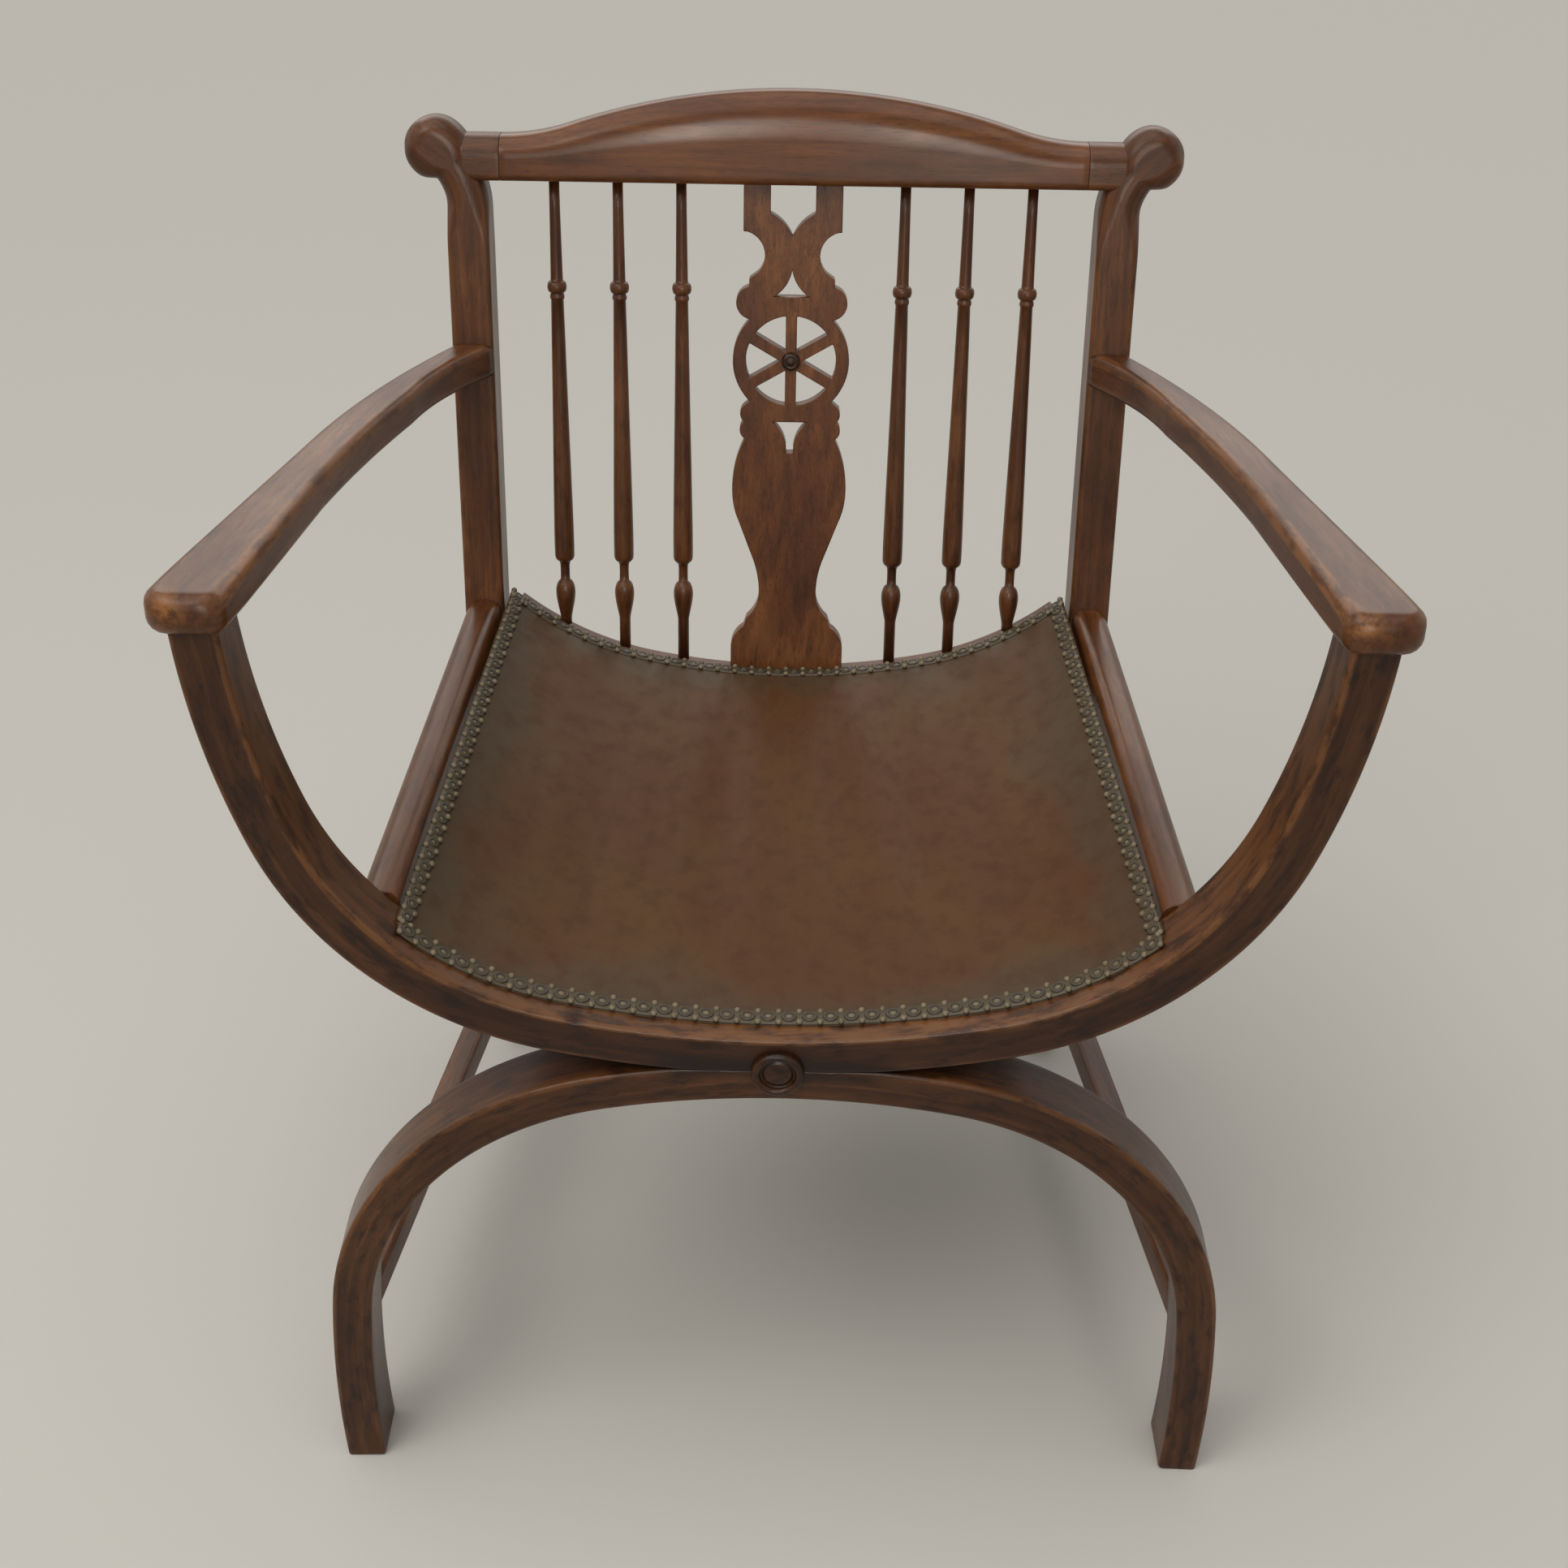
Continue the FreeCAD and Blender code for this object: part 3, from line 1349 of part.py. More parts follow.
def check_and_write():
    """Stop on anything failed, then write each sub-part to a file named after it."""
    document.recompute()
    for thing in document.Objects:
        if "Invalid" in thing.State or "Error" in thing.State:
            raise RuntimeError(f"{thing.Label} failed: {thing.State}")
    for node in nodes:
        if node.Shape.isNull() or not node.Shape.isValid() or node.Shape.Volume <= 0:
            raise RuntimeError(f"{node.Label} has no sound shape")
    os.makedirs("parts", exist_ok=True)
    for node in nodes:
        node.Shape.exportStep(f"parts/{node.Label}.step")


make_bow()
make_arch()
make_boss()
make_dowels()
for side_name, side_sign in SIDES.items():
    post_shaft = make_post(side_name, side_sign)
    make_side_rail(side_name, side_sign)
    make_arm(side_name, side_sign)
    make_stretcher(side_name, post_shaft)
make_crest()
make_rear_rail()
make_spindles()
make_splat()
make_button()
make_straps()
make_seat()
check_and_write()
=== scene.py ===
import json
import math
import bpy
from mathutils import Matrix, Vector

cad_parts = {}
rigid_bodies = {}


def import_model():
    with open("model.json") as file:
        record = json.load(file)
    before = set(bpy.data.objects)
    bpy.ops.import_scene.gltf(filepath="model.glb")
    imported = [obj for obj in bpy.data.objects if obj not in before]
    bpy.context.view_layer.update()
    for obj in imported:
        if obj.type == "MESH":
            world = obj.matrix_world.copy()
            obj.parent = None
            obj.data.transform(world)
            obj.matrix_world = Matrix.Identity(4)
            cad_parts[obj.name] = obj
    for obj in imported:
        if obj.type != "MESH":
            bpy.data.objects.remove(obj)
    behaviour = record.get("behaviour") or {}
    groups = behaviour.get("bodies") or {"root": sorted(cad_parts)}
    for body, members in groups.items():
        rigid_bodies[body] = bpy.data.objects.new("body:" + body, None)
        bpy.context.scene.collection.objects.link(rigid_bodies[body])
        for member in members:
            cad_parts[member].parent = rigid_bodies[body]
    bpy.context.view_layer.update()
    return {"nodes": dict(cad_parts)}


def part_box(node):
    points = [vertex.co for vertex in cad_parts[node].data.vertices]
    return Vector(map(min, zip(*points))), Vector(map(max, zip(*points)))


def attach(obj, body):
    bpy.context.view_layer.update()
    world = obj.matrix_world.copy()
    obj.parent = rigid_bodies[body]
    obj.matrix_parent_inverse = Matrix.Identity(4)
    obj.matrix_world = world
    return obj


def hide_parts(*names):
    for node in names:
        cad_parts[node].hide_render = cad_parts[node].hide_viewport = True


bl_info = {
    "name": "X-frame armchair",
    "version": (1, 0, 0),
    "blender": (4, 5, 0),
    "location": "View3D > Sidebar > Armchair",
    "description": "Dresses the packed frame of an open armchair in worn oak, leather and gimp",
    "category": "Add Mesh",
}

import bmesh
import bpy
import numpy as np
from mathutils import Matrix

for leftover in list(bpy.data.objects):
    bpy.data.objects.remove(leftover)

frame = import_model()
FRONT_Y = float(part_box("front_bow")[0][1])
SIDES = (("left", -1.0), ("right", 1.0))
ROW_SPACING = 0.004
FRAME_EASE = 0.0016
JOINT_EASE = 0.0003
JOINT_GAP = 0.0001
SEAT_RUN = 0.39
FRONT_GIMP, REAR_GIMP = 0.036, 0.964
LAMP_TINT = (1.0, 0.97, 0.92)


# Sizes and colours that a user would change

def setting(name, description, default, **kind):
    """A number that a user may change, or a row of numbers when the default is one."""
    words = {"name": name, "description": description, "default": default}
    if isinstance(default, float):
        return bpy.props.FloatProperty(**words, **kind)
    return bpy.props.FloatVectorProperty(size=len(default), **words, **kind)


def length(name, description, default):
    return setting(name, description, default, unit="LENGTH", precision=4)


def turn(name, description, default):
    return setting(name, description, np.radians(default).tolist(), unit="ROTATION")


def colour(name, description, default):
    return setting(name, description, default, subtype="COLOR", min=0.0, max=1.0)


class ArmchairFrameSizes(bpy.types.PropertyGroup):
    """Sizes of the wooden frame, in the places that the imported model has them."""

    crossing_height: length("Crossing height", "Floor to the flat where the bow meets the leg arch", 0.342)
    crossing_lap: length("Crossing lap", "How far each curve is planed off at the crossing", 0.00325)
    frame_depth: length("Frame depth", "Depth of the bow and the arch from front to back", 0.040)
    bow_thickness: length("Bow thickness", "Thickness of the bow across its curve", 0.026)
    bow_radii: length("Bow radii", "Base, haunch and arm radius of the bow", (0.597, 0.215, 0.486))
    bow_bends: turn("Bow bends", "Turn of the bow's base and haunch", (13.2, 58.3))
    arch_thickness: length("Arch thickness", "Thickness of the leg arch across its curve", 0.025)
    arch_radii: length("Arch radii", "Crown, haunch and leg radius of the arch", (0.531, 0.218, 0.905))
    arch_bends: turn("Arch bends", "Turn of the arch's crown and haunch", (11.7, 72.4))
    seat_height: length("Seat height", "Floor to the line where the back starts to lean", 0.441)
    seat_depth: length("Seat depth", "Front of the bow to the middle of the back", 0.417)
    recline: turn("Recline", "Lean of the back", 8.5)
    post_offset: length("Post offset", "Middle of the chair to the middle of a back post", 0.2165)
    post_width: length("Post width", "Width of a back post", 0.028)
    post_front: length("Post front", "Middle of the back to a post's front face", 0.019)
    post_back: length("Post back", "Middle of the back to a post's rear face", 0.014)
    post_bend_drop: length("Post bend drop", "Seat line down to the bend of the rear leg", 0.062)
    rear_leg_rake: length("Rear leg rake", "How far the rear foot stands behind the seat line", 0.032)
    rear_foot_depth: length("Rear foot depth", "Depth of a rear foot", 0.030)
    ear_radius: length("Ear radius", "Radius of the round ear on a post", 0.021)
    ear_offset: length("Ear offset", "How far the ear stands out from the post's middle", 0.020)
    ear_height: length("Ear height", "Seat line up to the ear's middle, along the back", 0.304)
    crest_height: length("Crest height", "Seat line up to the crest's underside, along the back", 0.2847)
    crest_end_height: length("Crest end height", "Height of the crest at its ends", 0.0287)
    crest_rise: length("Crest rise", "How far the crest's middle stands above its ends", 0.0309)
    crest_half: length("Crest half length", "Middle of the chair to the crest's joint", 0.194)
    crest_saddle: length("Crest saddle radius", "Radius of the hollow at each end of the crest", 0.144)
    rear_rail_dip: length("Rear rail dip", "Seat line down to the middle of the rear rail's top", 0.0612)
    rear_rail_radii: length("Rear rail radii", "Base and haunch radius of the rear rail's top", (0.5, 0.22))
    rear_rail_bend: turn("Rear rail bend", "Turn of the rear rail's base", 11.2)
    rear_rail_height: length("Rear rail height", "Height of the rear rail", 0.045)
    rear_rail_front: length("Rear rail front", "Middle of the back to the rear rail's front face", 0.0185)
    rear_rail_back: length("Rear rail back", "Middle of the back to the rear rail's rear face", 0.006)
    side_rail_top: length("Side rail top", "Floor to the crown of a side rail", 0.4374)
    side_rail_reach: length("Side rail reach", "Side rail's outer face, front and rear", (0.2445, 0.2295))
    arm_height: length("Arm height", "Floor to the arm's underside at the front of the bow", 0.627)
    arm_slope: turn("Arm slope", "Fall of the arm to the rear", 4.2)
    arm_thickness: length("Arm thickness", "Thickness of an arm", 0.023)
    arm_outer: length("Arm outer edge", "Middle of the chair to an arm's outer edge at the front", 0.3267)
    arm_width: length("Arm width", "Width of an arm at the front", 0.043)
    arm_nose: length("Arm nose", "How far an arm stands in front of the bow", 0.007)
    stretcher_height: length("Stretcher height", "Floor to the middle of a stretcher", 0.112)
    stretcher_reach: length("Stretcher reach", "Stretcher's middle, front and rear", (0.268, 0.2155))
    spindle_places: length("Spindle places", "Middle to each spindle on a side", (0.075, 0.1175, 0.160))
    edge_round: length("Edge rounding", "Rounding of the frame's long edges", 0.0024)


class ArmchairSeatSizes(bpy.types.PropertyGroup):
    """Sizes of the leather, the webbing and the gimp."""

    front_inset: length("Front inset", "Front of the bow to the leather's front edge", 0.014)
    rear_inset: length("Rear inset", "Middle of the back to the leather's rear edge", 0.0095)
    front_half_width: length("Front half width", "Half width of the leather at the bow", 0.2190)
    rear_half_width: length("Rear half width", "Half width of the leather at the rear rail", 0.1975)
    thickness: length("Leather thickness", "Thickness of the leather", 0.0022)
    proud: length("Leather lift", "How far the leather's top stands above the wood", 0.0009)
    sag: length("Sag", "How far the middle of the seat has dropped", 0.003)
    strap_width: length("Strap width", "Width of a webbing strap", 0.036)
    strap_thickness: length("Strap thickness", "Thickness of a webbing strap", 0.001)
    strap_pitches: length("Strap pitches", "Distance between straps, front and rear", (0.054, 0.042))
    gimp_width: length("Gimp width", "Width of the gimp", 0.012)
    gimp_thickness: length("Gimp thickness", "Thickness of the gimp's ground", 0.0013)
    rosette_pitch: length("Rosette pitch", "Distance between the gimp's rosettes", 0.0122)
    rosette_radius: length("Rosette radius", "Radius of a rosette", 0.0049)
    bead_radius: length("Bead radius", "Radius of a bead beside the rosettes", 0.0021)


class ArmchairColours(bpy.types.PropertyGroup):
    """Colours of the finishes."""

    oak_dark: colour("Oak, dark", "Stained oak in its pores and early wood", (0.018, 0.0066, 0.0028))
    oak_middle: colour("Oak, middle", "Main colour of the stained oak", (0.108, 0.0345, 0.0105))
    oak_light: colour("Oak, light", "Stained oak in its late wood", (0.185, 0.0680, 0.0215))
    oak_worn: colour("Oak, worn", "Oak where the stain has rubbed off", (0.300, 0.1250, 0.0380))
    leather_middle: colour("Leather, middle", "Leather in the middle of the seat", (0.090, 0.0340, 0.0105))
    leather_edge: colour("Leather, edge", "Leather near the gimp", (0.075, 0.047, 0.0250))
    leather_rubbed: colour("Leather, rubbed", "Leather where it is rubbed", (0.100, 0.0450, 0.0125))
    # Painted shade, put in the gimp's hollows.
    gimp_hollow_shade: colour("Gimp, dark", "Hollows of the gimp", (0.019, 0.0140, 0.0080))
    gimp_ground: colour("Gimp, ground", "Ground of the gimp", (0.080, 0.0600, 0.0340))
    # Painted highlight, put on the gimp's beads.
    gimp_bead_highlight: colour("Gimp, raised", "Beads of the gimp", (0.225, 0.1780, 0.1080))
    jute: colour("Jute", "Webbing under the seat", (0.300, 0.215, 0.115))
    peg: colour("Peg wood", "Dowels inside the joints", (0.420, 0.270, 0.140))
    floor: colour("Floor", "Floor of the stage", (0.600, 0.590, 0.555))


# Curves

class Chain:
    """Tangent arcs on each side of the middle, turning up (rise 1) or down (rise -1).

    Each arc's centre lies on the line through the joint with the arc before it, so the curve is smooth.
    """

    def __init__(self, radii, angles, low, rise):
        self.radii = np.array(radii)
        self.rise = rise
        self.bends = np.concatenate(([0.0], np.cumsum(angles)))
        steps = self.radii[:-1] - self.radii[1:]
        shift_x = steps * np.sin(self.bends[1:])
        shift_z = -rise * steps * np.cos(self.bends[1:])
        self.centre_x = np.concatenate(([0.0], np.cumsum(shift_x)))
        self.centre_z = low + rise * self.radii[0] + np.concatenate(([0.0], np.cumsum(shift_z)))

    def starts(self, inset):
        """Run from the middle to the start of each arc, on the curve inset towards the centres."""
        spans = (self.radii[:-1] - inset) * np.diff(self.bends)
        return np.concatenate(([0.0], np.cumsum(spans)))

    def place(self, arc, bend, inset):
        """X and Z on an arc: its centre plus its radius times sine and cosine of the bend."""
        radius = self.radii[arc] - inset
        x = self.centre_x[arc] + radius * np.sin(bend)
        return x, self.centre_z[arc] - self.rise * radius * np.cos(bend)

    def along(self, run, inset):
        """Signed X, Z and bend at a signed run along the curve."""
        starts = self.starts(inset)
        size = np.abs(run)
        arc = np.clip(np.searchsorted(starts, size, side="right") - 1, 0, len(self.radii) - 1)
        bend = self.bends[arc] + (size - starts[arc]) / (self.radii[arc] - inset)
        x, z = self.place(arc, bend, inset)
        return np.sign(run) * x, z, np.sign(run) * bend

    def run_to_bend(self, bend, inset):
        """Run along the curve to a bend on its last arc."""
        return self.starts(inset)[-1] + (self.radii[-1] - inset) * (bend - self.bends[-1])

    def run_to_height(self, height, inset):
        """Run along the curve to a height on its last arc."""
        cosine = self.rise * (self.centre_z[-1] - height) / (self.radii[-1] - inset)
        return self.run_to_bend(math.acos(cosine), inset)

    def run_to_reach(self, reach, inset):
        """Run along the curve to a distance from the middle on its last arc."""
        sine = (reach - self.centre_x[-1]) / (self.radii[-1] - inset)
        return self.run_to_bend(math.asin(sine), inset)

    def height_at(self, x):
        """Z at a distance from the middle, on the first or the second arc of a curve that turns up."""
        arc = int(abs(x) >= self.radii[0] * math.sin(self.bends[1]))
        return self.centre_z[arc] - math.sqrt(self.radii[arc] ** 2 - (abs(x) - self.centre_x[arc]) ** 2)


def bow_chain(sizes):
    low = sizes.crossing_height - sizes.crossing_lap
    return Chain(sizes.bow_radii, sizes.bow_bends, low, 1.0)


def arch_chain(sizes):
    top = sizes.crossing_height + sizes.crossing_lap
    return Chain(sizes.arch_radii, sizes.arch_bends, top, -1.0)


def rear_chain(sizes):
    return Chain(sizes.rear_rail_radii, (sizes.rear_rail_bend,), -sizes.rear_rail_dip, 1.0)


def leaning(points, angle, base_y, base_z):
    """Points turned about X by an angle, Y and Z mixed by its cosine and sine, and moved to a base line."""
    cosine, sine = math.cos(angle), math.sin(angle)
    x, y, z = np.moveaxis(np.asarray(points, dtype=float), -1, 0)
    return np.stack((x, base_y + y * cosine + z * sine, base_z - y * sine + z * cosine), axis=-1)


def in_back(sizes, points):
    """Chair coordinates of points in the leaning back, from the seat line up."""
    return leaning(points, sizes.recline, FRONT_Y + sizes.seat_depth, sizes.seat_height)


def in_arms(sizes, points):
    """Chair coordinates of points on the sloping underside of the arms."""
    return leaning(points, sizes.arm_slope, FRONT_Y, sizes.arm_height)


def back_up(sizes):
    return np.array((0.0, math.sin(sizes.recline), math.cos(sizes.recline)))


def back_rearward(sizes):
    return np.array((0.0, math.cos(sizes.recline), -math.sin(sizes.recline)))


def smooth_step(low, high, values):
    share = np.clip((values - low) / (high - low), 0.0, 1.0)
    return share * share * (3.0 - 2.0 * share)


def quarter(count):
    """Angles of a quarter turn."""
    return np.linspace(0.0, math.pi / 2, count)


# Sections and shells

class Section:
    """A rounded rectangle as columns: each point has shares of the half sizes and of four corner radii.

    Corners go round from plus a and plus b, and each is followed by the flat that leads to the next.
    """

    def __init__(self, steps=4, flats=(0.07, 0.5, 0.93)):
        signs = np.array(((1, 1), (-1, 1), (-1, -1), (1, -1)), dtype=float)
        angle = quarter(steps + 1) + np.arange(4)[:, None] * math.pi / 2
        own = np.eye(4)[:, None]
        half = np.broadcast_to(signs[:, None], (4, steps + 1, 2))
        reach_a = own * (np.cos(angle) - signs[:, :1])[..., None]
        reach_b = own * (np.sin(angle) - signs[:, 1:])[..., None]
        arcs = np.concatenate((half, reach_a, reach_b), axis=-1)
        share = np.array(flats)[:, None]
        level = (1 - share) * arcs[:, -1:] + share * np.roll(arcs, -1, axis=0)[:, :1]
        columns = np.concatenate((arcs, level), axis=1).reshape(-1, 10)
        self.half_a, self.half_b = columns[:, 0], columns[:, 1]
        self.radius_a, self.radius_b = columns[:, 2:6], columns[:, 6:]
        on_corner = np.repeat((1.0, 0.0), (steps + 1, len(flats)))[:, None]
        self.worn = np.kron(np.eye(4), on_corner)
        self.flat = np.kron(np.eye(4), 1 - on_corner)

    def offsets(self, half_a, half_b, radius, upright=None):
        """Offsets across the section, one row for each row of half sizes and corner radii.

        A corner is a quarter ellipse when upright gives it another radius in the second direction.
        """
        roundest = 0.98
        half_a, half_b = np.broadcast_arrays(np.atleast_1d(half_a).astype(float), half_b)
        radii, limits = (radius, upright), (half_a, half_b)
        if upright is None:
            radii, limits = (radius, radius), (np.minimum(half_a, half_b),) * 2
        wide, high = (np.minimum(np.broadcast_to(value, (len(half_a), 4)), roundest * limit[:, None])
                      for value, limit in zip(radii, limits))
        a = half_a[:, None] * self.half_a + wide @ self.radius_a.T
        return a, half_b[:, None] * self.half_b + high @ self.radius_b.T


SECTION = Section()
CREST_SECTION = Section(steps=10)
FRONT_FACE, INNER_FACE = SECTION.flat[:, 2], SECTION.flat[:, 3]
INNER_FRONT_EDGE = SECTION.worn[:, 3]


class Shell:
    """Points, face arrays, and the grain place of every point, with its wear and painted light and shade."""

    def __init__(self, points, faces, grain, wear_and_painted_light):
        self.points = np.asarray(points, dtype=float).reshape(-1, 3)
        self.faces = faces
        self.grain = np.asarray(grain, dtype=float).reshape(-1, 3)
        self.wear_and_painted_light = np.asarray(wear_and_painted_light, dtype=float).reshape(-1)
        if self.volume() < 0:
            self.faces = [face[:, ::-1] for face in self.faces]

    def volume(self):
        """Signed volume: a sixth of the sum over triangles of first corner dot (second cross third)."""
        total = 0.0
        middle = self.points.mean(axis=0)
        for face in self.faces:
            corners = self.points[face] - middle
            first, second, third = corners[:, :1], corners[:, 1:-1], corners[:, 2:]
            total += float(np.sum(first * np.cross(second, third))) / 6.0
        return total


def ring_faces(rows, columns):
    """Quads between neighbouring rings, and one flat face at each end."""
    index = np.arange(rows * columns).reshape(rows, columns)
    ahead = np.roll(index, -1, axis=1)
    quads = np.stack((index[:-1], ahead[:-1], ahead[1:], index[1:]), axis=-1).reshape(-1, 4)
    return [quads, np.stack((index[0][::-1], index[-1]))]


def rings_shell(points, grain, wear_and_painted_light):
    """A closed tube from rows of rings."""
    rows, columns = points.shape[:2]
    return Shell(points, ring_faces(rows, columns), grain, np.broadcast_to(wear_and_painted_light, (rows, columns)))


def plate_shell(top, under, wear_and_painted_light, grain=None):
    """A closed plate between two grids of one shape, with a wall round their border.

    Wear and painted light, and grain, are given for one grid and hold for both. Without a grain, each point
    is its own place.
    """
    rows, columns = top.shape[:2]
    count = rows * columns
    index = np.arange(count).reshape(rows, columns)
    corners = (index[:-1, :-1], index[1:, :-1], index[1:, 1:], index[:-1, 1:])
    upper = np.stack(corners, axis=-1).reshape(-1, 4)
    rim = np.concatenate((index[0, :], index[1:, -1], index[-1, -2::-1], index[-2:0:-1, 0]))
    after = np.roll(rim, -1)
    wall = np.stack((rim, after, after + count, rim + count), axis=-1)
    points = np.stack((top, under))
    place = points if grain is None else np.stack((grain, grain))
    worn = np.broadcast_to(wear_and_painted_light, (2, rows, columns))
    return Shell(points, [upper, upper[:, ::-1] + count, wall], place, worn)


def ease_in(distance, ease):
    """Inset of a section near an eased end: a quarter circle of that radius."""
    near = np.clip(ease - distance, 0.0, ease)
    return ease - np.sqrt(np.maximum(ease * ease - near * near, 0.0))


def rows_along(start, end, spacing, ease):
    """Places along a piece, closer together in the eased ends."""
    count = max(int((end - start) / spacing), 4)
    corner = ease * (1.0 - np.cos(quarter(5)))
    middle = np.linspace(start + ease, end - ease, count)[1:-1]
    return np.concatenate((start + corner, middle, end - corner[::-1]))


def carried(centre, a, normal, b, beside):
    """A section carried along a path: centre plus offset a along normal plus offset b along beside."""
    normal, beside = (np.broadcast_to(line, centre.shape)[:, None] for line in (normal, beside))
    return centre[:, None] + a[..., None] * normal + b[..., None] * beside


def grain_place(run, a, b, start):
    """Place of each point in the wood: its run along the grain and two offsets across it, from a start."""
    return np.stack(np.broadcast_arrays(run[:, None] + start[0], a + start[1], b + start[2]), axis=-1)


def stick(run, centre, normal, beside, half_a, half_b, radius, ease, corners, start):
    """Points, grain and wear of a rounded rectangle carried along a path.

    Both ends are eased and rubbed, the grain runs with the path, and corners gives how worn the edges are.
    """
    thinnest, rubbed_end = 1e-5, 0.5
    inset = ease_in(np.minimum(run - run[0], run[-1] - run), ease)
    a, b = SECTION.offsets(np.maximum(half_a - inset, thinnest), np.maximum(half_b - inset, thinnest), radius)
    wear_and_painted_light = np.maximum(SECTION.worn @ np.array(corners), rubbed_end * (inset > 0.3 * ease)[:, None])
    return carried(centre, a, normal, b, beside), grain_place(run, a, b, start), wear_and_painted_light


def bent_bar(chain, inset, end, middle_y, half_depth, radius, ease, corners, start):
    """A bar along a chain of arcs, its middle line inset by half its thickness, its section square to it."""
    run = rows_along(-end, end, ROW_SPACING, ease)
    x, z, bend = chain.along(run, inset)
    level = np.zeros_like(x)
    centre = np.stack((x, level + middle_y, z), axis=-1)
    normal = np.stack((-np.sin(bend), level, chain.rise * np.cos(bend)), axis=-1)
    return stick(run, centre, normal, (0.0, 1.0, 0.0), abs(inset), half_depth, radius, ease, corners, start)


def turned_shell(radius, height, centre, axis, segments, start):
    """A turned piece: each profile point carried round an axis by cosine and sine of the angle."""
    first = np.array((1.0, 0.0, 0.0))
    angle = np.linspace(0.0, 2 * math.pi, segments, endpoint=False)
    a, b = radius[:, None] * np.cos(angle), radius[:, None] * np.sin(angle)
    points = carried(centre + height[:, None] * axis, a, first, b, np.cross(axis, first))
    bulge = np.gradient(np.gradient(radius))
    wear_and_painted_light = 0.3 * np.clip(-bulge / (np.abs(bulge).max() + 1e-9), 0.0, 1.0)
    return rings_shell(points, grain_place(height, a, b, start), wear_and_painted_light[:, None])


def add_piece(context, name, shells, finish_name, node, flat_caps=True):
    """One object from shells, put in place, riding on the chair and standing for its node."""
    points, grain, wear_and_painted_light = (np.concatenate([getattr(shell, part) for shell in shells])
                           for part in ("points", "grain", "wear_and_painted_light"))
    starts = np.cumsum([0] + [len(shell.points) for shell in shells])
    faces = [face + start for shell, start in zip(shells, starts) for face in shell.faces]
    loops = np.concatenate([face.ravel() for face in faces])
    sides = np.concatenate([np.full(len(face), face.shape[1]) for face in faces])
    mesh = bpy.data.meshes.new(name)
    mesh.vertices.add(len(points))
    mesh.vertices.foreach_set("co", points.astype(np.float32).ravel())
    mesh.loops.add(len(loops))
    mesh.loops.foreach_set("vertex_index", loops.astype(np.int32))
    mesh.polygons.add(len(sides))
    mesh.polygons.foreach_set("loop_start", np.concatenate(([0], np.cumsum(sides)[:-1])).astype(np.int32))
    mesh.polygons.foreach_set("use_smooth", (sides == 4) | (not flat_caps))
    mesh.update(calc_edges=True)
    layers = (("grain", "FLOAT_VECTOR", "vector", grain), ("wear_and_painted_light", "FLOAT", "value", wear_and_painted_light))
    for label, kind, field, data in layers:
        layer = mesh.attributes.new(label, kind, "POINT")
        layer.data.foreach_set(field, data.astype(np.float32).ravel())
    if mesh.validate():
        raise RuntimeError(f"{name} has a face that is not sound")
    mesh.materials.append(finish(context, finish_name))
    return placed(context, name, mesh, node)


def placed(context, name, mesh, node):
    """An object that holds a mesh, riding on the chair and standing for its node."""
    piece = bpy.data.objects.new(name, mesh)
    context.scene.collection.objects.link(piece)
    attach(piece, "root")
    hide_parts(node)
    return piece


def oak_piece(context, name, shells, node, finish_name="dark_oak_along_grain"):
    return add_piece(context, f"oak_{name}", shells, finish_name, node)


# Materials

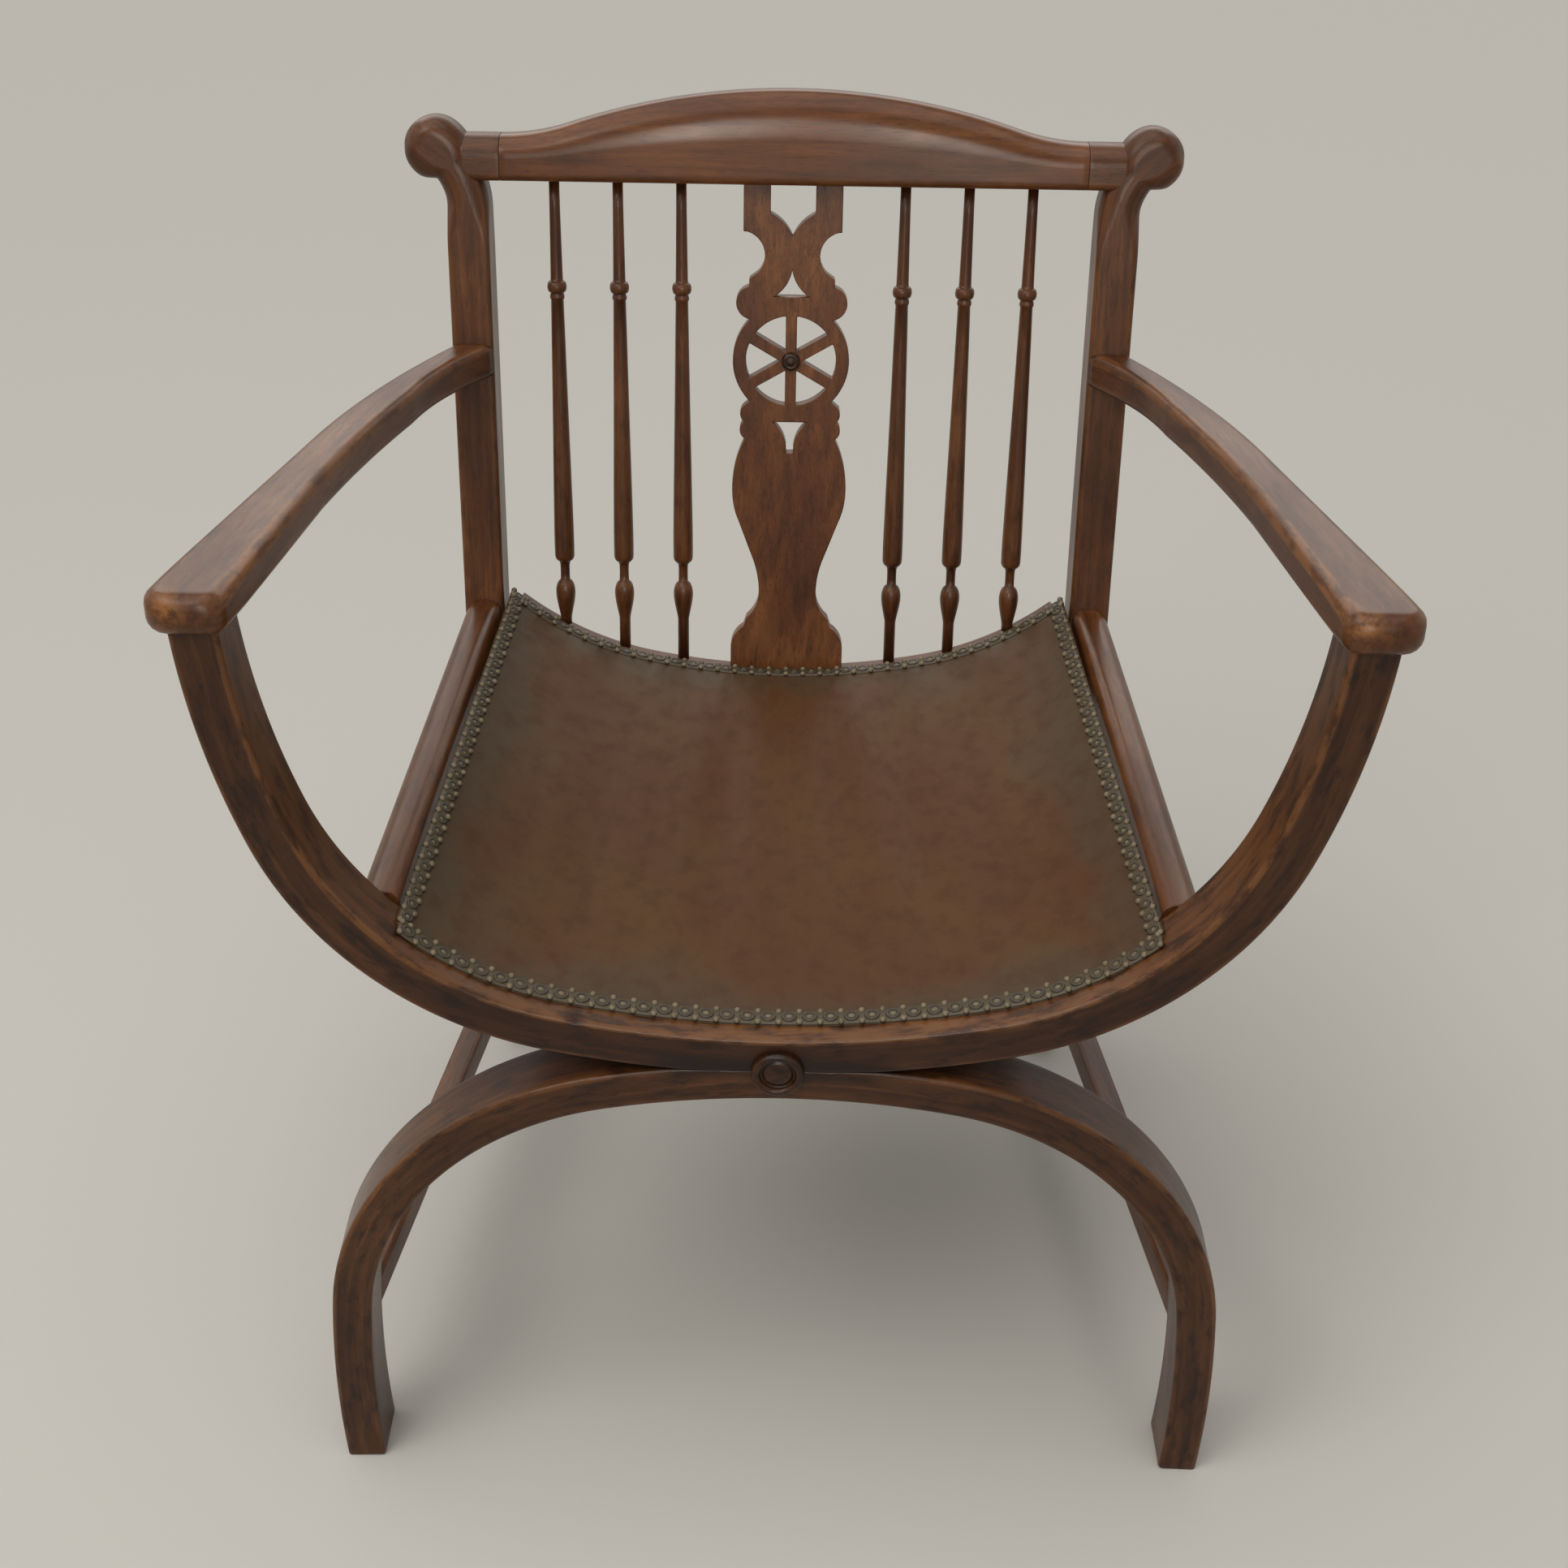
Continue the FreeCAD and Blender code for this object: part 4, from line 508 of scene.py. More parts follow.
class Nodes:
    """A short way to add nodes to a new material and join them."""

    def __init__(self, name):
        self.material = bpy.data.materials.new(name)
        self.material.use_nodes = True
        self.tree = self.material.node_tree
        self.tree.nodes.clear()
        self.shader = self.add("BsdfPrincipled")
        self.add("OutputMaterial", Surface=self.shader.outputs[0])

    def add(self, kind, settings=None, **sockets):
        """A node with its settings, and a value or another node's output for each socket that is named."""
        node = self.tree.nodes.new("ShaderNode" + kind)
        for name, value in (settings or {}).items():
            setattr(node, name, value)
        self.feed(node, **sockets)
        return node

    def feed(self, node, **sockets):
        for name, value in sockets.items():
            self.give(node.inputs[name.replace("_", " ")], value)

    def give(self, socket, value):
        if isinstance(value, bpy.types.NodeSocket):
            self.tree.links.new(value, socket)
        else:
            socket.default_value = value

    def carried(self):
        """The grain place, and the wear and painted light, that each point of a piece carries."""
        place, wear_and_painted_light = (self.add("Attribute", {"attribute_name": name}) for name in ("grain", "wear_and_painted_light"))
        return place.outputs["Vector"], wear_and_painted_light.outputs["Fac"]

    def spot(self):
        return self.add("TexCoord").outputs["Object"]

    def scaled(self, vector, scale, move=(0.0, 0.0, 0.0), turned=(0.0, 0.0, 0.0)):
        return self.add("Mapping", Vector=vector, Scale=scale, Location=move, Rotation=turned).outputs[0]

    def noise(self, place, scale, detail, rough, turned=(0.0, 0.0, 0.0)):
        """Noise with its own scale along each axis."""
        vector = self.scaled(place, scale, turned=turned)
        return self.add("TexNoise", Vector=vector, Scale=1.0, Detail=detail, Roughness=rough).outputs["Fac"]

    def ramp(self, factor, low, high, start=0.0, end=1.0):
        """A smooth step of a factor from one number to another."""
        node = self.add("MapRange", {"interpolation_type": "SMOOTHSTEP"}, Value=factor, From_Min=low,
                        From_Max=high, To_Min=start, To_Max=end)
        return node.outputs["Result"]

    def math(self, operation, one, other):
        node = self.add("Math", {"operation": operation})
        self.give(node.inputs[0], one)
        self.give(node.inputs[1], other)
        return node.outputs[0]

    def times(self, one, other):
        return self.math("MULTIPLY", one, other)

    def mix(self, factor, one, other):
        node = self.add("Mix", {"data_type": "RGBA"}, Factor=factor)
        sockets = [socket for socket in node.inputs if socket.type == "RGBA"]
        for socket, value in zip(sockets, (one, other)):
            self.give(socket, value if isinstance(value, bpy.types.NodeSocket) else (*value, 1.0))
        return [socket for socket in node.outputs if socket.type == "RGBA"][0]

    def bump(self, height, strength, distance):
        return self.add("Bump", Strength=strength, Distance=distance, Height=height).outputs[0]

    def finish(self, **sockets):
        self.feed(self.shader, **sockets)
        return self.material


def darker(tint, share):
    return tuple(share * value for value in tint)


def oak(net, colours, turned=None, figure=0.22, blotch=0.35, shade=1.0, polish=0.0):
    """Stained oak: faint growth rings round the grain's own line, dark pores along it, rubbed edges, and
    painted shade.

    figure is how plainly the rings show, blotch how far the stain is uneven, shade darkens or lightens the
    whole, and polish takes that much off the roughness and twice as much off the strength of the bump. A
    piece that carries no grain of its own has it along an axis of the chair, by turned.
    """
    dark, middle, light, rubbed = (darker(tint, shade) for tint in (
        colours.oak_dark, colours.oak_middle, colours.oak_light, colours.oak_worn))
    if turned is None:
        place, worn = net.carried()
    else:
        place, worn = net.scaled(net.spot(), (1.0, 1.0, 1.0), turned=turned), None
    heart = net.scaled(place, (0.12, 1.0, 1.0), (0.0, 0.037, 0.052))
    wave = {"wave_type": "RINGS", "rings_direction": "X", "wave_profile": "SAW"}
    rings = net.add("TexWave", wave, Vector=heart, Scale=34.0, Distortion=9.0, Detail=3.0, Detail_Scale=1.6)
    pores = net.noise(place, (95.0, 1300.0, 1300.0), 2.0, 0.6)
    streaks = net.noise(place, (13.0, 260.0, 260.0), 4.0, 0.65)
    flecks = net.noise(place, (38.0, 120.0, 120.0), 4.0, 0.65)
    clouds = net.noise(place, (7.0, 24.0, 24.0), 4.0, 0.6)
    base = net.mix(net.ramp(clouds, 0.30, 0.62), light, middle)
    base = net.mix(net.ramp(rings.outputs["Fac"], 0.25, 0.95, figure, 0.0), base, dark)
    base = net.mix(net.ramp(streaks, 0.40, 0.74, 0.0, 0.42), base, dark)
    base = net.mix(net.ramp(flecks, 0.48, 0.68, 0.0, blotch), base, dark)
    base = net.mix(net.ramp(clouds, 0.54, 0.78, 0.0, blotch), base, dark)
    pore = net.ramp(pores, 0.56, 0.70)
    base = net.mix(net.times(pore, 0.5), base, dark)
    if worn is not None:
        base = net.mix(net.times(worn, net.ramp(flecks, 0.42, 0.60, 1.0, 0.18)), base, rubbed)
        # Where the carried value is below zero the oak goes dark: painted shade on front faces and along
        # joints, and darker chips.
        grime_and_painted_shade = net.times(net.ramp(worn, -1.0, 0.0, 1.0, 0.0), net.ramp(clouds, 0.30, 0.62, 0.45, 1.0))
        base = net.mix(grime_and_painted_shade, base, dark)
    height = net.math("ADD", net.times(pore, -1.0), net.times(streaks, 0.5))
    rough = net.ramp(clouds, 0.25, 0.75, 0.26 - polish, 0.36 - polish)
    normal = net.bump(height, 0.22 - 2 * polish, 0.0002)
    return net.finish(Base_Color=base, Roughness=rough, Normal=normal, Specular_IOR_Level=0.28)


def saddle_leather(net, colours):
    """Old leather: redder in the middle, duller by the gimp, with streaks, scuffs and a fine grain."""
    place, edge = net.carried()
    clouds = net.noise(place, (11.0, 7.0, 1.0), 4.0, 0.6)
    mottle = net.noise(place, (70.0, 55.0, 1.0), 4.0, 0.6)
    streaks = net.noise(place, (60.0, 5.0, 1.0), 3.0, 0.6)
    scuff = net.noise(place, (420.0, 90.0, 1.0), 3.0, 0.7, turned=(0.0, 0.0, 0.5))
    rim = net.math("ADD", edge, net.ramp(clouds, 0.3, 0.7, -0.22, 0.22))
    base = net.mix(net.ramp(clouds, 0.42, 0.62), colours.leather_middle, colours.leather_rubbed)
    base = net.mix(net.ramp(rim, 0.42, 0.95), base, colours.leather_edge)
    base = net.mix(net.ramp(streaks, 0.45, 0.80, 0.0, 0.35), base, colours.leather_rubbed)
    base = net.mix(net.ramp(mottle, 0.42, 0.72, 0.0, 0.45), base, darker(colours.leather_middle, 0.62))
    base = net.mix(net.ramp(scuff, 0.68, 0.76, 0.0, 0.40), base, colours.leather_rubbed)
    cells = net.add("TexVoronoi", {"feature": "DISTANCE_TO_EDGE"}, Scale=1.0,
                    Vector=net.scaled(place, (620.0, 620.0, 1.0)))
    pebble = net.ramp(cells.outputs["Distance"], 0.0, 0.22)
    height = net.math("ADD", net.times(pebble, 0.6), net.times(mottle, 0.8))
    rough = net.ramp(mottle, 0.3, 0.7, 0.42, 0.52)
    normal = net.bump(height, 0.25, 0.0003)
    return net.finish(Base_Color=base, Roughness=rough, Normal=normal, Specular_IOR_Level=0.18)


def stamped_gimp(net, colours):
    """Stamped leather gimp: an olive brown ground, with painted shade in its hollows and painted highlights
    on its beads.
    """
    place, painted_relief_light = net.carried()
    grime_and_painted_shade = net.noise(place, (150.0, 150.0, 150.0), 4.0, 0.6)
    patch = net.noise(place, (22.0, 22.0, 22.0), 2.0, 0.5)
    # Painted highlights on the beads, dimmed by the grime noise, and painted shade in the hollows.
    bright = net.times(net.ramp(painted_relief_light, 0.5, 1.0), net.ramp(grime_and_painted_shade, 0.3, 0.6, 0.35, 1.0))
    base = net.mix(net.ramp(painted_relief_light, 0.05, 0.4), colours.gimp_hollow_shade, colours.gimp_ground)
    base = net.mix(bright, base, colours.gimp_bead_highlight)
    base = net.mix(net.ramp(patch, 0.5, 0.75, 0.0, 0.4), base, colours.leather_edge)
    rough = net.ramp(grime_and_painted_shade, 0.3, 0.7, 0.36, 0.56)
    normal = net.bump(grime_and_painted_shade, 0.3, 0.0002)
    return net.finish(Base_Color=base, Roughness=rough, Normal=normal, Specular_IOR_Level=0.35)


def woven_jute(net, colours):
    """Jute webbing: two crossed sets of threads, each a sine wave, with darker gaps."""
    spot = net.spot()
    bands = [{"wave_type": "BANDS", "bands_direction": direction} for direction in "XY"]
    threads = [net.add("TexWave", band, Vector=spot, Scale=130.0, Distortion=0.6) for band in bands]
    weave = net.math("MAXIMUM", *(thread.outputs["Fac"] for thread in threads))
    fuzz = net.noise(spot, (90.0, 90.0, 90.0), 3.0, 0.6)
    dark = darker(colours.jute, 0.35)
    base = net.mix(net.ramp(weave, 0.3, 0.95), dark, colours.jute)
    base = net.mix(net.ramp(fuzz, 0.4, 0.7, 0.0, 0.4), base, dark)
    return net.finish(Base_Color=base, Normal=net.bump(weave, 0.6, 0.0006), Roughness=0.9)


def peg_wood(net, colours):
    """Pale dowel wood with fine lines along the grain."""
    lines = net.noise(net.spot(), (700.0, 700.0, 40.0), 2.0, 0.5)
    base = net.mix(net.ramp(lines, 0.35, 0.7), colours.peg, darker(colours.peg, 0.55))
    return net.finish(Base_Color=base, Normal=net.bump(lines, 0.2, 0.0002), Roughness=0.7)


def stage_paint(net, colours):
    """Plain matt paint."""
    return net.finish(Base_Color=(*colours.floor, 1.0), Roughness=0.9, Specular_IOR_Level=0.0)


FINISHES = {
    "dark_oak_along_grain": (oak, {}),
    # Painted shade: the bent front frame is a darker copy of the oak, standing in for the shade low down.
    "dark_oak_bent": (oak, {"figure": 0.35, "blotch": 0.75, "shade": 0.78}),
    # Painted light: the crest is a lighter copy of the oak, standing in for the light it catches.
    "dark_oak_polished": (oak, {"figure": 0.08, "blotch": 0.14, "shade": 1.15, "polish": 0.09}),
    "dark_oak_boss": (oak, {"blotch": 0.7, "shade": 0.33}),
    # Painted light: the splat is a lighter copy of the oak, standing in for light on the board.
    "dark_oak_upright": (oak, {"turned": (0.0, math.pi / 2, 0.0), "shade": 1.45}),
    "brown_saddle_leather": (saddle_leather, {}),
    "stamped_olive_gimp": (stamped_gimp, {}),
    "woven_jute": (woven_jute, {}),
    "pale_peg_wood": (peg_wood, {}),
    "pale_floor_paint": (stage_paint, {}),
}


def finish(context, name):
    """The finish of a name, made on its first use."""
    recipe, amounts = FINISHES[name]
    return bpy.data.materials.get(name) or recipe(Nodes(name), context.scene.armchair_colours, **amounts)


# Pieces

class Piece:
    """What every operator of the chair shares."""

    bl_options = {"REGISTER", "UNDO"}

    def execute(self, context):
        self.build(context.scene.armchair_frame, context)
        return {"FINISHED"}


class ARMCHAIR_OT_front_frame(Piece, bpy.types.Operator):
    """Make the bow and the leg arch, each a rounded bar along its own chain of arcs"""

    bl_idname = "armchair.front_frame"
    bl_label = "Front frame"

    def bar(self, sizes, chain, thickness, end_height, limits, corners, start):
        """A bar cut off flat at two heights, with painted shade along the joint where it meets the other one.
        """
        joint_shade, joint_shade_start, joint_shade_end = 0.9, 0.0015, 0.006
        inset, half_depth = thickness / 2, sizes.frame_depth / 2
        end = chain.run_to_height(end_height, inset)
        points, grain, wear_and_painted_light = bent_bar(chain, inset, end, FRONT_Y + half_depth, half_depth, sizes.edge_round,
                                       FRAME_EASE, corners, start)
        points[..., 2] = np.clip(points[..., 2], *limits)
        # Near the crossing height the wear gives way to painted shade along the joint.
        clear = smooth_step(joint_shade_start, joint_shade_end, np.abs(points[..., 2] - sizes.crossing_height))
        return points, grain, wear_and_painted_light * clear - joint_shade * (1 - clear)

    def build(self, sizes, context):
        gap, bow_painted_shade, arch_painted_shade, into_arm = 0.00015, 0.42, 0.30, 0.001
        limits, end_height = (sizes.crossing_height + gap, np.inf), sizes.arm_height + into_arm
        points, grain, wear_and_painted_light = self.bar(sizes, bow_chain(sizes), sizes.bow_thickness, end_height,
                                       limits, (0.25, 0.10, 0.20, 0.50), (0.0, 0.01, 0.0))
        run = grain[..., 0]
        rubbed = 0.20 + 0.22 * (1 - smooth_step(0.18, 0.27, np.abs(run)))
        chip_run, chip_width, chip_depth, chip_darkening = -0.1206, 0.0035, 0.0014, 1.4
        # The chip is made darker than the oak round it.
        chip = np.exp(-((run - chip_run) / chip_width) ** 2) * (INNER_FRONT_EDGE + 0.5 * INNER_FACE)
        points[..., 2] -= chip_depth * chip * INNER_FRONT_EDGE
        # The bow's front face is darkened as painted shade; its inner face is rubbed.
        wear_and_painted_light = wear_and_painted_light + rubbed * INNER_FACE - bow_painted_shade * FRONT_FACE - chip_darkening * chip
        oak_piece(context, "front_bow", [rings_shell(points, grain, wear_and_painted_light)], "front_bow", "dark_oak_bent")
        limits = (0.0, sizes.crossing_height - gap)
        points, grain, wear_and_painted_light = self.bar(sizes, arch_chain(sizes), sizes.arch_thickness, 0.0,
                                       limits, (0.1, 0.1, 0.32, 0.12), (3.1, 0.03, 0.02))
        # The arch's front face is darkened as painted shade.
        wear_and_painted_light = wear_and_painted_light - arch_painted_shade * FRONT_FACE
        oak_piece(context, "leg_arch", [rings_shell(points, grain, wear_and_painted_light)], "front_leg_arch", "dark_oak_bent")


class ARMCHAIR_OT_boss(Piece, bpy.types.Operator):
    """Turn the boss on the crossing: a round rim about a dished face with a ring in it"""

    bl_idname = "armchair.boss"
    bl_label = "Crossing boss"

    def build(self, sizes, context):
        angle = np.linspace(0.0, math.pi, 13)
        side = np.array(((0.0155, -0.002), (0.0155, 0.0020)))
        rim = np.stack((0.0130 + 0.0025 * np.cos(angle), 0.0026 + 0.0024 * np.sin(angle)), axis=-1)
        face = np.array(((0.0102, 0.0016), (0.0096, 0.0014), (0.0088, 0.0018), (0.0080, 0.0026),
                         (0.0072, 0.0029), (0.0040, 0.0031), (0.0006, 0.0032)))
        radius, height = np.concatenate((side, rim, face)).T
        centre, axis = np.array((0.0, FRONT_Y, sizes.crossing_height)), np.array((0.0, -1.0, 0.0))
        shell = turned_shell(radius, height, centre, axis, 48, (5.2, 0.0, 0.0))
        oak_piece(context, "boss", [shell], "crossing_boss", "dark_oak_boss")


class ARMCHAIR_OT_arms(Piece, bpy.types.Operator):
    """Make the arms: a rounded bar whose two edges are lines and arcs seen from above"""

    bl_idname = "armchair.arms"
    bl_label = "Arms"

    def arc_x(self, y, start, end, radius):
        """X on an arc between two points: centre plus or minus root of (radius squared less dy squared)."""
        start, end = np.array(start), np.array(end)
        chord, middle = end - start, (start + end) / 2
        span = np.hypot(*chord)
        square = np.array((-chord[1], chord[0])) / span
        centre = middle + square * math.sqrt(radius * radius - span * span / 4)
        side = np.sign((middle - centre)[0])
        return centre[0] + side * np.sqrt(np.maximum(radius * radius - (y - centre[1]) ** 2, 0.0))

    def edges(self, sizes, y, end):
        """Outer and inner X at each Y: a round nose, a straight line, then one arc outside and two inside."""
        outer, nose = sizes.arm_outer, -sizes.arm_nose
        inner = outer - sizes.arm_width
        outer_nose, inner_nose = 0.014, 0.010
        outer_turn, outer_fall = 0.220, 0.036
        inner_turn, inner_fall = 0.170, 0.0155
        hook_turn, hook_fall = 0.322, 0.0435
        post_out = sizes.post_offset + sizes.post_width / 2
        line = outer - outer_fall * (y - nose - outer_nose) / (outer_turn - nose - outer_nose)
        arc = self.arc_x(y, (outer - outer_fall, outer_turn), (post_out, end), 0.760)
        x_out = np.where(y < outer_turn, line, arc)
        x_out = np.where(y < nose + outer_nose, outer - ease_in(y - nose, outer_nose), x_out)
        line = inner - inner_fall * (y - nose - inner_nose) / (inner_turn - nose - inner_nose)
        hook = (inner - hook_fall, hook_turn)
        arc = self.arc_x(y, (inner - inner_fall, inner_turn), hook, 1.350)
        hook_arc = self.arc_x(y, hook, (post_out - sizes.post_width, end), 0.260)
        x_in = np.where(y < inner_turn, line, np.where(y < hook_turn, arc, hook_arc))
        return x_out, np.where(y < nose + inner_nose, inner + ease_in(y - nose, inner_nose), x_in)

    def build(self, sizes, context):
        nose, end, nose_length, nose_ease = -sizes.arm_nose, 0.4225, 0.016, 0.0085
        edge_round, nose_round = 0.0058, 0.0040
        front_fade, nose_fade, rubbed_reach = 0.10, 0.014, 0.009
        y = np.concatenate((nose + nose_length * (1 - np.cos(quarter(14))),
                            np.linspace(nose + nose_length, end, 100)[1:]))
        x_out, x_in = self.edges(sizes, y, end)
        middle, half_thick = ((x_out + x_in) / 2)[:, None], sizes.arm_thickness / 2
        inset = ease_in(y - y[0], nose_ease)
        behind = (y - nose)[:, None]
        rounding = edge_round + nose_round * np.exp(-behind / nose_length)
        a, b = SECTION.offsets((x_out - x_in) / 2 - 0.3 * inset, half_thick - inset, rounding)
        rise = half_thick + b
        lean = math.tan(sizes.recline - sizes.arm_slope) * behind / (end - nose)
        fade = (0.35 + 0.65 * np.exp(-behind / front_fade)) * (1 - np.exp(-behind / nose_fade))
        corners = fade * (SECTION.worn @ np.array((0.35, 0.85, 0.30, 0.10)))
        upper = 0.1 + 0.9 * smooth_step(-0.003, 0.004, b)
        rubbed_nose = 0.95 * np.exp(-behind / rubbed_reach) * upper
        for name, side in SIDES:
            local = np.stack((side * (middle + a), y[:, None] + lean * rise, rise), axis=-1)
            grain = grain_place(y, a + 0.3 * middle, b, (7.0 + side, 0.02, 0.012 * side))
            wear_and_painted_light = np.maximum(corners, rubbed_nose * smooth_step(-0.004, 0.010, -side * a))
            shell = rings_shell(in_arms(sizes, local), grain, wear_and_painted_light)
            oak_piece(context, f"{name}_arm", [shell], f"{name}_arm")


class ARMCHAIR_OT_back_posts(Piece, bpy.types.Operator):
    """Make the back posts: a bar from the rear foot up the leaning back, then out into the round ear"""

    bl_idname = "armchair.back_posts"
    bl_label = "Back posts"

    def build(self, sizes, context):
        """The middle line is a leg, a shaft and an arc that swings out. Past the arc, the section is the ear.

        There the half width is the root of ear radius squared less distance squared, and the rim is rounded.
        """
        depth = sizes.post_front + sizes.post_back
        middle_y = (sizes.post_back - sizes.post_front) / 2
        ear_lean, ear_rim, soft_bend, thinnest = math.radians(55.0), 0.012, 0.012, 0.0006
        square_edge, rear_softer, ear_softer, front_softer = 0.003, 0.003, 0.006, 0.009
        sweep = sizes.ear_offset / (1 - math.cos(ear_lean))
        turn_z = sizes.ear_height - sweep * math.sin(ear_lean)
        bend = in_back(sizes, (sizes.post_offset, middle_y, -sizes.post_bend_drop))
        foot = np.array((sizes.post_offset, FRONT_Y + sizes.seat_depth + sizes.rear_leg_rake, 0.0))
        leg = float(np.linalg.norm(bend - foot))
        shaft_end = leg + turn_z + sizes.post_bend_drop
        ear = shaft_end + sweep * ear_lean
        run = np.concatenate((
            FRAME_EASE * (1 - np.cos(quarter(4))),
            np.linspace(0.004, leg - soft_bend, 60),
            np.linspace(leg - 0.75 * soft_bend, leg + 0.75 * soft_bend, 7),
            np.linspace(leg + soft_bend, shaft_end, 70)[:-1],
            np.linspace(shaft_end, ear, 26)[:-1],
            ear + 0.995 * sizes.ear_radius * np.sin(quarter(18)),
        ))
        swing = np.clip((run - shaft_end) / (ear - shaft_end), 0.0, 1.0) * ear_lean
        from_ear = run - ear
        beyond = np.maximum(from_ear, 0.0)
        across = sizes.post_offset + sweep * (1 - np.cos(swing)) + beyond * math.sin(ear_lean)
        up = np.clip(run, leg, shaft_end) - leg - sizes.post_bend_drop
        up = up + sweep * np.sin(swing) + beyond * math.cos(ear_lean)
        on_leg = foot + (bend - foot) * np.clip(run / leg, 0.0, 1.0)[:, None]
        on_back = in_back(sizes, np.stack((across, np.full_like(run, middle_y), up), axis=-1))
        centre = np.where((run < leg)[:, None], on_leg, on_back)
        normal = np.cos(swing)[:, None] * np.array((1.0, 0.0, 0.0)) - np.sin(swing)[:, None] * back_up(sizes)
        along_leg = (bend - foot) / leg
        share = smooth_step(leg - soft_bend, leg + soft_bend, run)[:, None]
        beside = (1 - share) * np.array((0.0, along_leg[2], -along_leg[1])) + share * back_rearward(sizes)
        circle = np.sqrt(np.maximum(sizes.ear_radius ** 2 - from_ear ** 2, 0.0))
        half_a = np.where(from_ear > 0, circle, np.maximum(sizes.post_width / 2, circle))
        taper = (depth - sizes.rear_foot_depth) / 2 * np.clip(1 - run / leg, 0, 1)
        half_b = depth / 2 - np.where(from_ear > 0, ease_in(sizes.ear_radius - from_ear, ear_rim), taper)
        rear = square_edge + rear_softer * smooth_step(shaft_end - 0.03, shaft_end + 0.02, run)
        rear = rear + ear_softer * smooth_step(-0.03, 0.0, from_ear)
        front = square_edge + front_softer * smooth_step(shaft_end - 0.025, shaft_end + 0.012, run)
        front = np.maximum(rear, front)
        inset = ease_in(run, FRAME_EASE)
        a, b = SECTION.offsets(np.maximum(half_a - inset, thinnest), half_b - inset,
                               np.stack((rear, rear, front, front), axis=-1))
        below_ear = smooth_step(-0.05, -0.09, from_ear)[:, None]
        wear_and_painted_light = below_ear * (SECTION.worn @ np.array((0.12, 0.12, 0.16, 0.16)))
        for name, side in SIDES:
            flip = np.array((side, 1.0, 1.0))
            points = carried(centre * flip, a, normal * flip, b, beside)
            points[..., 2] = np.maximum(points[..., 2], 0.0)
            grain = grain_place(run, a, b, (11.0 + side, 0.02, -0.015 * side))
            shells = [rings_shell(points, grain, wear_and_painted_light), self.stub(sizes, side)]
            oak_piece(context, f"{name}_post", shells, f"{name}_back_post")

    def stub(self, sizes, side):
        """The short end of the crest's line that is cut from the post."""
        start = sizes.crest_half + JOINT_GAP
        x = np.concatenate((start + JOINT_EASE * (1 - np.cos(quarter(4))),
                            np.linspace(sizes.crest_half + 0.003, sizes.post_offset + 0.004, 10)))
        points, grain, wear_and_painted_light = crest_rings(sizes, side * x, ease_in(x - start, JOINT_EASE))
        return rings_shell(points, grain + np.array((4.0, 0.01, 0.0)), wear_and_painted_light)


def crest_rings(sizes, x, inset):
    """Rings of the crest: its top is a hollow arc, a crown arc and a hollow arc, its front gently round."""
    half_depth, set_forward = 0.0155, 0.0025
    saddle = sizes.crest_saddle
    both = (sizes.crest_half ** 2 + sizes.crest_rise ** 2) / (2 * sizes.crest_rise)
    crown = both - saddle
    join = sizes.crest_half * crown / both
    size = np.minimum(np.abs(x), sizes.crest_half)
    end_top = sizes.crest_height + sizes.crest_end_height
    crown_centre = end_top + sizes.crest_rise - crown
    on_crown = crown_centre + np.sqrt(np.maximum(crown ** 2 - np.minimum(size, join) ** 2, 0))
    on_saddle = end_top + saddle - np.sqrt(np.maximum(saddle ** 2 - (sizes.crest_half - size) ** 2, 0))
    top = np.where(size < join, on_crown, on_saddle)
    half_a, half_b = half_depth - inset, (top - sizes.crest_height) / 2 - inset
    across = np.array((0.0085, 0.0135, 0.0035, 0.0022))
    upright = np.tile((0.0085, 0.0, 0.0045, 0.0022), (len(x), 1))
    upright[:, 1] = 1.15 * half_b
    a, b = CREST_SECTION.offsets(half_a, half_b, across, upright)
    rise = ((top + sizes.crest_height) / 2)[:, None] + b
    local = np.stack(np.broadcast_arrays(x[:, None], a - set_forward, rise), axis=-1)
    wear_and_painted_light = CREST_SECTION.worn @ np.array((0.06, 0.0, 0.14, 0.1))
    return in_back(sizes, local), grain_place(x, a, rise, (15.0, 0.01, -0.26)), wear_and_painted_light


class ARMCHAIR_OT_crest(Piece, bpy.types.Operator):
    """Make the crest rail between the two joints with the posts"""

    bl_idname = "armchair.crest"
    bl_label = "Crest rail"

    def build(self, sizes, context):
        half = sizes.crest_half - JOINT_GAP
        x = rows_along(-half, half, ROW_SPACING, JOINT_EASE)
        shell = rings_shell(*crest_rings(sizes, x, ease_in(half - np.abs(x), JOINT_EASE)))
        oak_piece(context, "crest_rail", [shell], "crest_rail", "dark_oak_polished")


